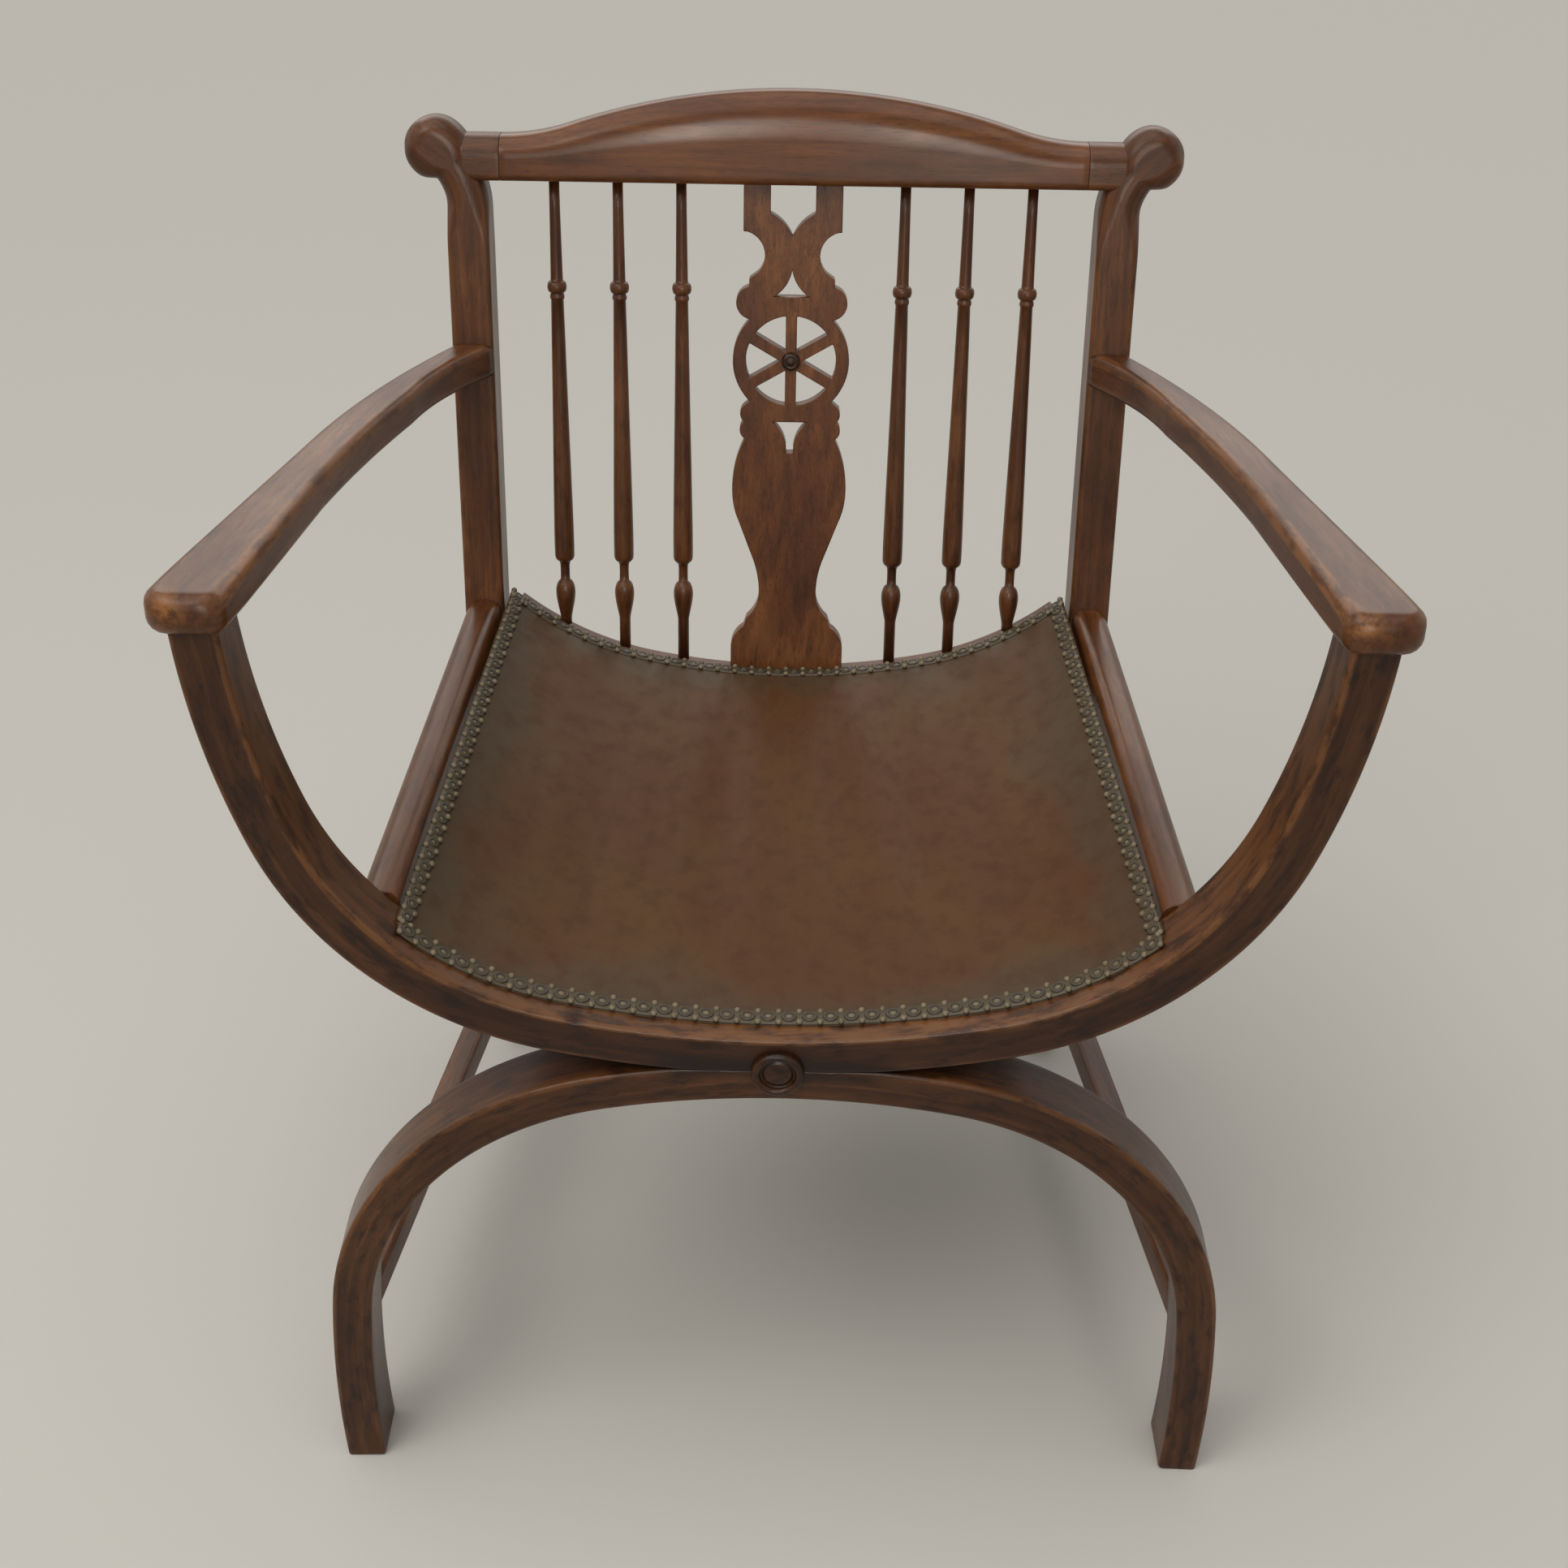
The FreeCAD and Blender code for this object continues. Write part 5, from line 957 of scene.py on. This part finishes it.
class ARMCHAIR_OT_seat_rails(Piece, bpy.types.Operator):
    """Make the rear rail along its chain of arcs, and the side rails with their rounded crowns"""

    bl_idname = "armchair.seat_rails"
    bl_label = "Seat rails"

    def rear(self, sizes, context):
        """The rear rail's top edge is the chain, so its middle line is that let down by half its height."""
        chain, half, into_post = rear_chain(sizes), sizes.rear_rail_height / 2, 0.002
        end = chain.run_to_reach(sizes.post_offset - sizes.post_width / 2 + into_post, -half)
        middle = (sizes.rear_rail_back - sizes.rear_rail_front) / 2
        depth = sizes.rear_rail_front + sizes.rear_rail_back
        points, grain, wear_and_painted_light = bent_bar(chain, -half, end, middle, depth / 2, 0.0022, 0.001,
                                       (0.2, 0.1, 0.1, 0.1), (19.0, 0.02, 0.0))
        shell = rings_shell(in_back(sizes, points), grain, wear_and_painted_light)
        oak_piece(context, "rear_rail", [shell], "rear_seat_rail")

    def side(self, sizes, context, name, side):
        """The crown is a quarter circle outside and a smaller one inside, and the rest is straight lines.

        The section runs straight from the bow to the post, and leans back by the end to meet the post's face.
        """
        angle = quarter(9)
        outer_round, inner_round, inner_start = 0.012, 0.0085, 0.0165
        outside = outer_round * np.stack((1 - np.cos(angle), np.sin(angle) - 1), axis=-1)
        inside = inner_round * np.stack((np.sin(angle), np.cos(angle) - 1), axis=-1) + (inner_start, 0.0)
        low = np.array(((0.025, -0.018), (0.026, -0.030), (0.039, -0.040), (0.039, -0.0415), (0.0385, -0.042),
                        (0.020, -0.042), (0.0015, -0.042), (0.0005, -0.0415), (0.0, -0.0405), (0.0, -0.026)))
        inward, down = np.concatenate((outside, inside, low)).T
        start_y = FRONT_Y + sizes.frame_depth
        end_y = FRONT_Y + sizes.seat_depth - sizes.post_front * math.cos(sizes.recline)
        share = np.concatenate((np.linspace(0.0, 0.01, 3), np.linspace(0.01, 0.99, 70)[1:-1],
                                np.linspace(0.99, 1.0, 3)))
        front_reach, rear_reach = sizes.side_rail_reach
        y = start_y + share * (end_y - start_y)
        outer = front_reach + (rear_reach - front_reach) * share
        z = sizes.side_rail_top + down
        lean = share[:, None] * (z - sizes.seat_height) * math.tan(sizes.recline)
        x = side * (outer[:, None] - inward)
        points = np.stack(np.broadcast_arrays(x, y[:, None] + lean, z), axis=-1)
        grain = grain_place(y, inward, down, (23.0 + side, 0.0, 0.03 * side))
        crown_wear = 0.10 * np.sin(2 * angle)
        wear_and_painted_light = np.concatenate((crown_wear, crown_wear, np.zeros(len(low))))
        oak_piece(context, f"{name}_side_rail", [rings_shell(points, grain, wear_and_painted_light)], f"{name}_side_rail")

    def build(self, sizes, context):
        self.rear(sizes, context)
        for name, side in SIDES:
            self.side(sizes, context, name, side)


class ARMCHAIR_OT_stretchers(Piece, bpy.types.Operator):
    """Make the low stretchers: straight bars from the leg arch to the rear legs"""

    bl_idname = "armchair.stretchers"
    bl_label = "Stretchers"

    def build(self, sizes, context):
        into_leg, half_width, half_height, edge, ease = 0.0005, 0.0085, 0.011, 0.003, 0.0008
        bend = in_back(sizes, (0.0, -sizes.post_front, -sizes.post_bend_drop))
        foot_y = FRONT_Y + sizes.seat_depth + sizes.rear_leg_rake - sizes.rear_foot_depth / 2
        rear_y = foot_y + (bend[1] - foot_y) * sizes.stretcher_height / bend[2] + into_leg
        front_y = FRONT_Y + sizes.frame_depth - into_leg
        for name, side in SIDES:
            start = np.array((side * sizes.stretcher_reach[0], front_y, sizes.stretcher_height))
            end = np.array((side * sizes.stretcher_reach[1], rear_y, sizes.stretcher_height))
            span = float(np.linalg.norm(end - start))
            run = rows_along(0.0, span, 3 * ROW_SPACING, ease)
            along = (end - start) / span
            shape = stick(run, start + run[:, None] * along, (along[1], -along[0], 0.0), (0.0, 0.0, 1.0),
                          half_width, half_height, edge, ease, (0.15, 0.15, 0.1, 0.1),
                          (27.0 + side, 0.0, 0.01))
            oak_piece(context, f"{name}_stretcher", [rings_shell(*shape)], f"{name}_stretcher")


class ARMCHAIR_OT_spindles(Piece, bpy.types.Operator):
    """Turn the six spindles: a bulb, a pin, a long taper with a bead, and a thin top"""

    bl_idname = "armchair.spindles"
    bl_label = "Spindles"

    def profile(self, foot, top):
        """Height and radius: straight tapers between given points, with sines for the bulb and the bead."""
        share = np.linspace(1.0, 0.0, 19)
        swelling = 0.0034 * np.sin(math.pi * share ** 0.60) ** 1.1
        bulb = np.stack((0.0035 - 0.0285 * share, 0.0034 + 0.0006 * share + swelling), axis=-1)
        angle = np.linspace(0.0, math.pi, 11)
        bead = np.stack((0.2130 - 0.0038 * np.cos(angle), 0.0044 + 0.0022 * np.sin(angle) ** 0.8), axis=-1)
        pin = ((0.0080, 0.0033), (0.0120, 0.0033), (0.0150, 0.0034))
        swell = ((0.0172, 0.0040), (0.0186, 0.0058), (0.0200, 0.0067), (0.0220, 0.0070), (0.0300, 0.00705),
                 (0.0400, 0.0070), (0.0700, 0.00655), (0.1000, 0.0060), (0.1400, 0.0053), (0.1800, 0.0047))
        ring = ((0.2044, 0.0043), (0.2052, 0.0049), (0.2066, 0.0050), (0.2078, 0.0047), (0.2088, 0.0044))
        upper = ((0.2190, 0.0042), (0.2400, 0.0039), (0.2650, 0.0036), (top, 0.0035))
        return np.concatenate((((foot, 0.0040),), bulb, pin, swell, ring, bead, upper)).T

    def build(self, sizes, context):
        chain, into_rail, into_crest = rear_chain(sizes), 0.0015, 0.0005
        places = sorted([-value for value in sizes.spindle_places] + list(sizes.spindle_places))
        for number, x in enumerate(places, start=1):
            height, radius = self.profile(chain.height_at(x) - into_rail, sizes.crest_height + into_crest)
            shell = turned_shell(radius, height, in_back(sizes, (x, 0.0, 0.0)), back_up(sizes), 24,
                                 (31.0 + 1.7 * number, 0.004, 0.006))
            oak_piece(context, f"spindle_{number}", [shell], f"spindle_{number}")


class ARMCHAIR_OT_splat(Piece, bpy.types.Operator):
    """Finish the fretted splat, and turn the button at the wheel's hub"""

    bl_idname = "armchair.splat"
    bl_label = "Splat and button"

    def board(self, sizes, context):
        """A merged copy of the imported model's fretted board, its sharp edges eased by 0.6 mm.

        Its flat front and back are shaded flat, and its curved edges smooth.
        """
        packed = frame["nodes"]["wheel_splat"]
        merged = bmesh.new()
        merged.from_mesh(packed.data)
        merged.transform(packed.matrix_world)
        bmesh.ops.remove_doubles(merged, verts=merged.verts, dist=1e-5)
        bmesh.ops.dissolve_limit(merged, angle_limit=math.radians(1.0), verts=merged.verts,
                                 edges=merged.edges)
        mesh = bpy.data.meshes.new("oak_splat")
        merged.to_mesh(mesh)
        merged.free()
        piece = placed(context, "oak_splat", mesh, "wheel_splat")
        ease = piece.modifiers.new("eased_edges", "BEVEL")
        ease.width, ease.segments = 0.0006, 2
        ease.limit_method, ease.angle_limit = "ANGLE", math.radians(40.0)
        ease.use_clamp_overlap = False
        graph = context.evaluated_depsgraph_get()
        eased = bpy.data.meshes.new_from_object(piece.evaluated_get(graph))
        piece.modifiers.clear()
        piece.data = eased
        eased.materials.clear()
        eased.materials.append(finish(context, "dark_oak_upright"))
        eased.shade_smooth()
        eased.set_sharp_from_angle(angle=math.radians(18.0))
        normals = np.empty(3 * len(eased.polygons), dtype=np.float32)
        eased.polygons.foreach_get("normal", normals)
        facing = normals.reshape(-1, 3) @ back_rearward(sizes)
        eased.polygons.foreach_set("use_smooth", np.abs(facing) < 0.99)

    def build(self, sizes, context):
        self.board(sizes, context)
        angle = quarter(8)
        side = np.array(((0.0065, -0.002), (0.0065, 0.0006)))
        rim = np.stack((0.0040 + 0.0022 * np.cos(angle), 0.0014 + 0.0022 * np.sin(angle)), axis=-1)
        face = np.array(((0.0034, 0.0030), (0.0028, 0.0031), (0.0018, 0.0038), (0.0004, 0.0040)))
        radius, height = np.concatenate((side, rim, face)).T
        board_front, hub_height = -0.0055, 0.1655
        hub = in_back(sizes, (0.0, board_front, hub_height))
        shell = turned_shell(radius, height, hub, -back_rearward(sizes), 24, (45.0, 0.0, 0.0))
        oak_piece(context, "hub_button", [shell], "wheel_button", "dark_oak_boss")


def seat_edge(chain, edge, inset, share):
    """X and Z along an edge of the seat: the bend grows evenly to the first arc's end, then to the edge."""
    knee = 0.56
    first = chain.bends[1]
    last = math.asin((edge - chain.centre_x[1]) / (chain.radii[1] - inset))
    size = np.abs(share)
    bend = np.where(size < knee, first * size / knee, first + (last - first) * (size - knee) / (1 - knee))
    x, z = chain.place((size >= knee).astype(int), bend, inset)
    return np.sign(share) * x, z


def seat_surface(sizes, seat, share, depth):
    """Top of the leather at a share across (-1 to 1) and a depth from front to rear (0 to 1).

    The front and rear edges follow the bow and the rear rail. Between them the points run straight, less a
    sag of sin(pi depth), with a few low waves of cosine across the seat and small puckers beside the gimp.
    """
    share, depth = np.broadcast_arrays(np.asarray(share, dtype=float), np.asarray(depth, dtype=float))
    corner_round, half_width, pucker_reach = 0.014, 0.22, 0.05
    share = share * (1 - ease_in(SEAT_RUN * depth, corner_round) / half_width)
    bow_inset = sizes.bow_thickness + seat.proud
    front_x, front_z = seat_edge(bow_chain(sizes), seat.front_half_width, bow_inset, share)
    rear_x, rear_z = seat_edge(rear_chain(sizes), seat.rear_half_width, seat.proud, share)
    front_share = np.clip(depth / FRONT_GIMP, 0.0, 1.0)
    rear_share = np.clip((depth - REAR_GIMP) / (1 - REAR_GIMP), 0.0, 1.0)
    middle = np.clip((depth - FRONT_GIMP) / (REAR_GIMP - FRONT_GIMP), 0.0, 1.0)
    front_y = FRONT_Y + seat.front_inset + front_share * seat.gimp_width
    rear_y = -seat.rear_inset - seat.gimp_width * (1 - rear_share)
    front_point = np.stack((front_x, front_y, front_z), axis=-1)
    rear_point = in_back(sizes, np.stack((rear_x, rear_y, rear_z), axis=-1))
    points = (1 - middle)[..., None] * front_point + middle[..., None] * rear_point
    wave = 0.0007 * np.cos(19.0 * share + 0.6) + 0.0005 * np.cos(31.0 * share + 2.1 + 1.5 * middle)
    by_gimp = np.exp(-middle / pucker_reach) + np.exp(-(1 - middle) / pucker_reach)
    pucker = 0.0003 * np.cos(95.0 * share) * by_gimp * (middle > 0) * (middle < 1)
    points[..., 2] += (1 - share ** 2) * (np.sin(math.pi * middle) * (wave - seat.sag) + pucker)
    return points


class ARMCHAIR_OT_leather(Piece, bpy.types.Operator):
    """Lay the leather over the bow and the rear rail, with a slight sag and low waves"""

    bl_idname = "armchair.leather"
    bl_label = "Leather seat"

    def build(self, sizes, context):
        seat = context.scene.armchair_seat
        half_width, half_flat, dark_rim, dark_fade = 0.21, 0.215, 0.010, 0.055
        share = np.linspace(-1.0, 1.0, 141)[None, :]
        depth = np.concatenate((np.linspace(0.0, FRONT_GIMP, 4)[:-1], np.linspace(FRONT_GIMP, REAR_GIMP, 101),
                                np.linspace(REAR_GIMP, 1.0, 4)[1:]))[:, None]
        top = seat_surface(sizes, seat, share, depth)
        under = top - np.array((0.0, 0.0, seat.thickness))
        far = np.minimum(half_width * (1 - np.abs(share)), SEAT_RUN * np.minimum(depth, 1 - depth))
        edge = np.exp(-np.maximum(far - dark_rim, 0.0) / dark_fade)
        flat = np.stack(np.broadcast_arrays(half_flat * share, SEAT_RUN * depth, 0 * edge), axis=-1)
        shell = plate_shell(top, under, edge, flat)
        piece = add_piece(context, "leather_seat", [shell], "brown_saddle_leather",
                          "seat_leather")


class ARMCHAIR_OT_gimp(Piece, bpy.types.Operator):
    """Make the gimp: a thin band along each edge of the leather, with rosettes and with beads beside them"""

    bl_idname = "armchair.gimp"
    bl_label = "Gimp"

    def bosses(self, radius, height, painted_relief_light, segments, places):
        """Copies of a small turned boss: each is a centre plus every coordinate times its own direction."""
        centres, along, beside, up = (place[:, None, None] for place in places)
        angle = np.linspace(0.0, 2 * math.pi, segments, endpoint=False)
        across = radius[:, None] * np.stack((np.cos(angle), np.sin(angle)))[..., None, :]
        points = (centres + across[0][..., None] * along + across[1][..., None] * beside
                  + height[:, None, None] * up)
        step = (np.arange(len(centres)) * radius.size * segments)[:, None, None]
        faces = [(face + step).reshape(-1, face.shape[1]) for face in ring_faces(len(radius), segments)]
        return Shell(points, faces, points, np.tile(np.repeat(painted_relief_light, segments), len(centres)))

    def at(self, run, spots, *lines):
        """Values along each line at given runs, each column read off by straight interpolation."""
        return [np.stack([np.interp(spots, run, column) for column in line.T], axis=-1) for line in lines]

    def directions(self, sizes, seat, share, depth, crosswise):
        """Directions along a line on the leather, beside it and up, from differences of the surface."""
        small = 1e-4
        along = np.gradient(seat_surface(sizes, seat, share, depth), axis=0)
        along /= np.linalg.norm(along, axis=-1, keepdims=True)
        step_share, step_depth = (0.0, small) if crosswise else (small, 0.0)
        near, far = (seat_surface(sizes, seat, share - steps * step_share, depth - steps * step_depth)
                     for steps in (1, 3))
        beside = near - far
        if crosswise and depth[0] < 0.5:
            beside = np.tile((0.0, 1.0, 0.0), (len(share), 1))
        beside = beside - np.sum(beside * along, axis=-1, keepdims=True) * along
        beside /= np.linalg.norm(beside, axis=-1, keepdims=True)
        up = np.cross(along, beside)
        return along, beside, up * np.sign(up[:, 2:])

    def band(self, sizes, seat, share, depth, name, context):
        """A band along a line on the leather, with a row of rosettes and a row of beads on each side."""
        crosswise = np.ptp(share) > np.ptp(depth)
        narrow = 1.0 if crosswise else 0.78
        centre = seat_surface(sizes, seat, share, depth)
        lines = self.directions(sizes, seat, share, depth, crosswise)
        beside, up = lines[1:]
        run = np.concatenate(([0.0], np.cumsum(np.linalg.norm(np.diff(centre, axis=0), axis=-1))))
        half, ground, sunk, ground_painted_light = narrow * seat.gimp_width / 2, seat.gimp_thickness, 0.0002, 0.42
        offset = half * np.array((-1.0, -0.92, -0.5, 0.0, 0.5, 0.92, 1.0))[:, None]
        swell = ground * np.array((0.35, 0.8, 1.0, 1.0, 1.0, 0.8, 0.35))[:, None]
        flat = centre[:, None] + offset * beside[:, None]
        # The ground has a middle level of painted light, with neither painted shade nor painted highlight.
        shells = [plate_shell(flat + swell * up[:, None], flat - sunk * up[:, None], ground_painted_light)]
        margin, bead_room, bead_row = 0.55 * seat.rosette_pitch, 0.0015, 0.80
        number = int(round((run[-1] - 2 * margin) / seat.rosette_pitch)) + 1
        spots = np.linspace(margin, run[-1] - margin, number)
        radius = narrow * seat.rosette_radius * np.array((1.0, 0.92, 0.72, 0.54, 0.32, 0.08))
        height = ground + np.array((-0.0006, 0.0006, 0.0009, 0.0000, 0.0006, 0.0009))
        # Painted light on each ring of a rosette: painted shade at the outer edge and in the groove, painted
        # highlights in the middle.
        painted_relief_light = (0.0, 0.20, 0.36, 0.0, 0.75, 0.95)
        shells.append(self.bosses(radius, height, painted_relief_light, 10, self.at(run, spots, centre, *lines)))
        half_pitch = (spots[1] - spots[0]) / 2
        between = np.append(spots - half_pitch, spots[-1] + half_pitch)
        between = np.clip(between, bead_room, run[-1] - bead_room)
        radius = seat.bead_radius * np.array((1.0, 0.92, 0.65, 0.25))
        height = 0.6 * ground + seat.bead_radius * np.array((-0.3, 0.35, 0.78, 1.0))
        # Painted light on each ring of a bead, with a painted highlight on its top.
        painted_relief_light = (0.2, 0.8, 1.0, 1.0)
        for edge in (-bead_row, bead_row):
            places = self.at(run, between, centre + edge * half * beside, *lines)
            shells.append(self.bosses(radius, height, painted_relief_light, 9, places))
        add_piece(context, f"gimp_{name}", shells, "stamped_olive_gimp", f"{name}_gimp", False)

    def build(self, sizes, context):
        seat = context.scene.armchair_seat
        across, back, side_share = np.linspace(-1.0, 1.0, 220), np.linspace(0.030, 0.970, 160), 0.9765
        for name, depth in (("front", FRONT_GIMP / 2), ("rear", 1 - FRONT_GIMP / 2)):
            self.band(sizes, seat, across, np.full_like(across, depth), name, context)
        for name, side in SIDES:
            self.band(sizes, seat, np.full_like(back, side * side_share), back, name, context)


class ARMCHAIR_OT_under_seat(Piece, bpy.types.Operator):
    """Lay the webbing straps under the leather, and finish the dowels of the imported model"""

    bl_idname = "armchair.under_seat"
    bl_label = "Webbing and dowels"

    def strap(self, sizes, seat, number):
        """A strip of the seat's own surface, let down by the leather's thickness and a small gap."""
        gap = 0.0003
        shares = np.linspace(-1.0, 1.0, 401)
        depth = np.linspace(0.016, 0.984, 70)[:, None]
        width = seat.strap_width / 2 * np.linspace(-1.0, 1.0, 7)
        front, rear = (np.interp(number * pitch + width, seat_surface(sizes, seat, shares, end)[:, 0], shares)
                       for end, pitch in zip((0.0, 1.0), seat.strap_pitches))
        top = seat_surface(sizes, seat, (1 - depth) * front + depth * rear, depth)
        top[..., 2] -= seat.thickness + gap
        return plate_shell(top, top - np.array((0.0, 0.0, seat.strap_thickness)), 0.0)

    def build(self, sizes, context):
        seat = context.scene.armchair_seat
        shells = [self.strap(sizes, seat, number) for number in range(-3, 4)]
        add_piece(context, "jute_webbing", shells, "woven_jute", "seat_webbing")
        for node in ("crossing_dowels", "arm_dowels"):
            materials = frame["nodes"][node].data.materials
            materials.clear()
            materials.append(finish(context, "pale_peg_wood"))


class ARMCHAIR_OT_stage(Piece, bpy.types.Operator):
    """Set out the floor, the soft lights, and a camera at the photograph's viewing angle"""

    bl_idname = "armchair.stage"
    bl_label = "Stage, lights and camera"

    def link(self, context, name, data):
        thing = bpy.data.objects.new(name, data)
        context.scene.collection.objects.link(thing)
        return thing

    def lamp(self, context, name, place, size, energy, sheen_only=True):
        """A soft panel turned to the middle of the chair, itself unseen, and for sheen alone unless told."""
        data = bpy.data.lights.new(name, "AREA")
        data.shape = "RECTANGLE"
        data.size, data.size_y = size
        data.energy = energy
        data.color = LAMP_TINT
        lamp = self.link(context, name, data)
        away = np.array(place) - np.array((0.0, 0.0, 0.5))
        away /= np.linalg.norm(away)
        across = np.cross((0.0, 0.0, 1.0), away)
        across /= np.linalg.norm(across)
        lamp.matrix_world = matrix_of(across, np.cross(away, across), away, place)
        lamp.visible_camera = False
        lamp.visible_diffuse = not sheen_only

    def sky(self, context):
        """Wide soft light from above, nearly straight down, so that the whole floor is evenly pale."""
        data = bpy.data.lights.new("sky_light", "SUN")
        data.energy = 1.6
        data.angle = math.radians(70.0)
        data.color = LAMP_TINT
        tilt = math.radians(12.0)
        lamp = self.link(context, "sky_light", data)
        lamp.matrix_world = Matrix.Rotation(tilt, 4, "X") @ Matrix.Rotation(-tilt, 4, "Y")

    def floor(self, context):
        reach = 30.0
        corners = [(-reach, -reach, 0), (reach, -reach, 0), (reach, reach, 0), (-reach, reach, 0)]
        mesh = bpy.data.meshes.new("stage_floor")
        mesh.from_pydata(corners, [], [(0, 1, 2, 3)])
        mesh.materials.append(finish(context, "pale_floor_paint"))
        self.link(context, "stage_floor", mesh)

    def backdrop(self, context):
        """A dim even world, paler where it is seen or mirrored, so that it is a pale backdrop all round."""
        world = bpy.data.worlds.new("studio")
        context.scene.world = world
        world.use_nodes = True
        tree = world.node_tree
        background = tree.nodes["Background"]
        background.inputs["Color"].default_value = (1.0, 0.98, 0.94, 1.0)
        path = tree.nodes.new("ShaderNodeLightPath")
        seen = path.outputs["Is Camera Ray"]
        for label in ("Is Glossy Ray", "Is Transmission Ray"):
            either = tree.nodes.new("ShaderNodeMath")
            either.operation = "MAXIMUM"
            tree.links.new(seen, either.inputs[0])
            tree.links.new(path.outputs[label], either.inputs[1])
            seen = either.outputs[0]
        strength = tree.nodes.new("ShaderNodeMapRange")
        strength.inputs["To Min"].default_value = 0.32
        strength.inputs["To Max"].default_value = 0.58
        tree.links.new(seen, strength.inputs["Value"])
        tree.links.new(strength.outputs["Result"], background.inputs["Strength"])

    def camera(self, context):
        """A camera turned by yaw, pitch and roll, where the frame lines up with the photograph."""
        yaw, pitch, roll = -0.0026, 0.575, -0.0158
        place = (0.00348, FRONT_Y - 0.95148, 1.15858)
        level = math.cos(pitch)
        forward = np.array((math.sin(yaw) * level, math.cos(yaw) * level, -math.sin(pitch)))
        right = np.array((math.cos(yaw), -math.sin(yaw), 0.0))
        down = np.cross(forward, right)
        across = right * math.cos(roll) + down * math.sin(roll)
        upward = right * math.sin(roll) - down * math.cos(roll)
        data = bpy.data.cameras.new("camera")
        data.sensor_fit = "HORIZONTAL"
        data.sensor_width = 36.0
        data.lens = 48.94
        data.clip_start = 0.05
        camera = self.link(context, "camera", data)
        camera.matrix_world = matrix_of(across, upward, -forward, place)
        context.scene.camera = camera

    def build(self, sizes, context):
        self.floor(context)
        self.sky(context)
        self.lamp(context, "key_light", (-1.3, -1.2, 2.2), (1.2, 0.9), 12.0, False)
        self.lamp(context, "left_window", (-0.24, -2.6, 1.50), (0.20, 1.1), 13.0)
        self.lamp(context, "right_window", (0.36, -2.6, 1.35), (0.20, 1.1), 11.0)
        self.lamp(context, "back_panel", (0.0, 4.0, 3.0), (6.0, 3.0), 92.0)
        self.lamp(context, "left_panel", (-2.6, 0.4, 1.4), (3.0, 1.8), 9.0)
        self.lamp(context, "right_panel", (2.6, 0.4, 1.4), (3.0, 1.8), 9.0)
        self.backdrop(context)
        context.scene.view_settings.view_transform = "Standard"
        self.camera(context)


def matrix_of(across, upward, away, place):
    columns = np.eye(4)
    columns[:3] = np.stack((across, upward, away, place), axis=-1)
    return Matrix(columns.tolist())


OPERATORS = (
    ARMCHAIR_OT_front_frame, ARMCHAIR_OT_boss, ARMCHAIR_OT_arms, ARMCHAIR_OT_back_posts, ARMCHAIR_OT_crest,
    ARMCHAIR_OT_seat_rails, ARMCHAIR_OT_stretchers, ARMCHAIR_OT_spindles, ARMCHAIR_OT_splat,
    ARMCHAIR_OT_under_seat, ARMCHAIR_OT_leather, ARMCHAIR_OT_gimp, ARMCHAIR_OT_stage,
)


class ARMCHAIR_PT_panel(bpy.types.Panel):
    """Lists the chair's pieces and its sizes and colours"""

    bl_idname = "ARMCHAIR_PT_panel"
    bl_label = "X-frame armchair"
    bl_space_type = "VIEW_3D"
    bl_region_type = "UI"
    bl_category = "Armchair"

    def draw(self, context):
        for operator in OPERATORS:
            self.layout.operator(operator.bl_idname)
        for name in GROUPS:
            box, group = self.layout.box(), getattr(context.scene, name)
            for field in group.__annotations__:
                box.prop(group, field)


GROUPS = {
    "armchair_frame": ArmchairFrameSizes,
    "armchair_seat": ArmchairSeatSizes,
    "armchair_colours": ArmchairColours,
}


def register():
    for name, group in GROUPS.items():
        bpy.utils.register_class(group)
        setattr(bpy.types.Scene, name, bpy.props.PointerProperty(type=group))
    for operator in OPERATORS:
        bpy.utils.register_class(operator)
    bpy.utils.register_class(ARMCHAIR_PT_panel)


def unregister():
    bpy.utils.unregister_class(ARMCHAIR_PT_panel)
    for operator in reversed(OPERATORS):
        bpy.utils.unregister_class(operator)
    for name, group in GROUPS.items():
        delattr(bpy.types.Scene, name)
        bpy.utils.unregister_class(group)


def main():
    register()
    for operator in OPERATORS:
        group, name = operator.bl_idname.split(".")
        getattr(getattr(bpy.ops, group), name)()
    bpy.context.view_layer.update()


if __name__ == "__main__":
    main()
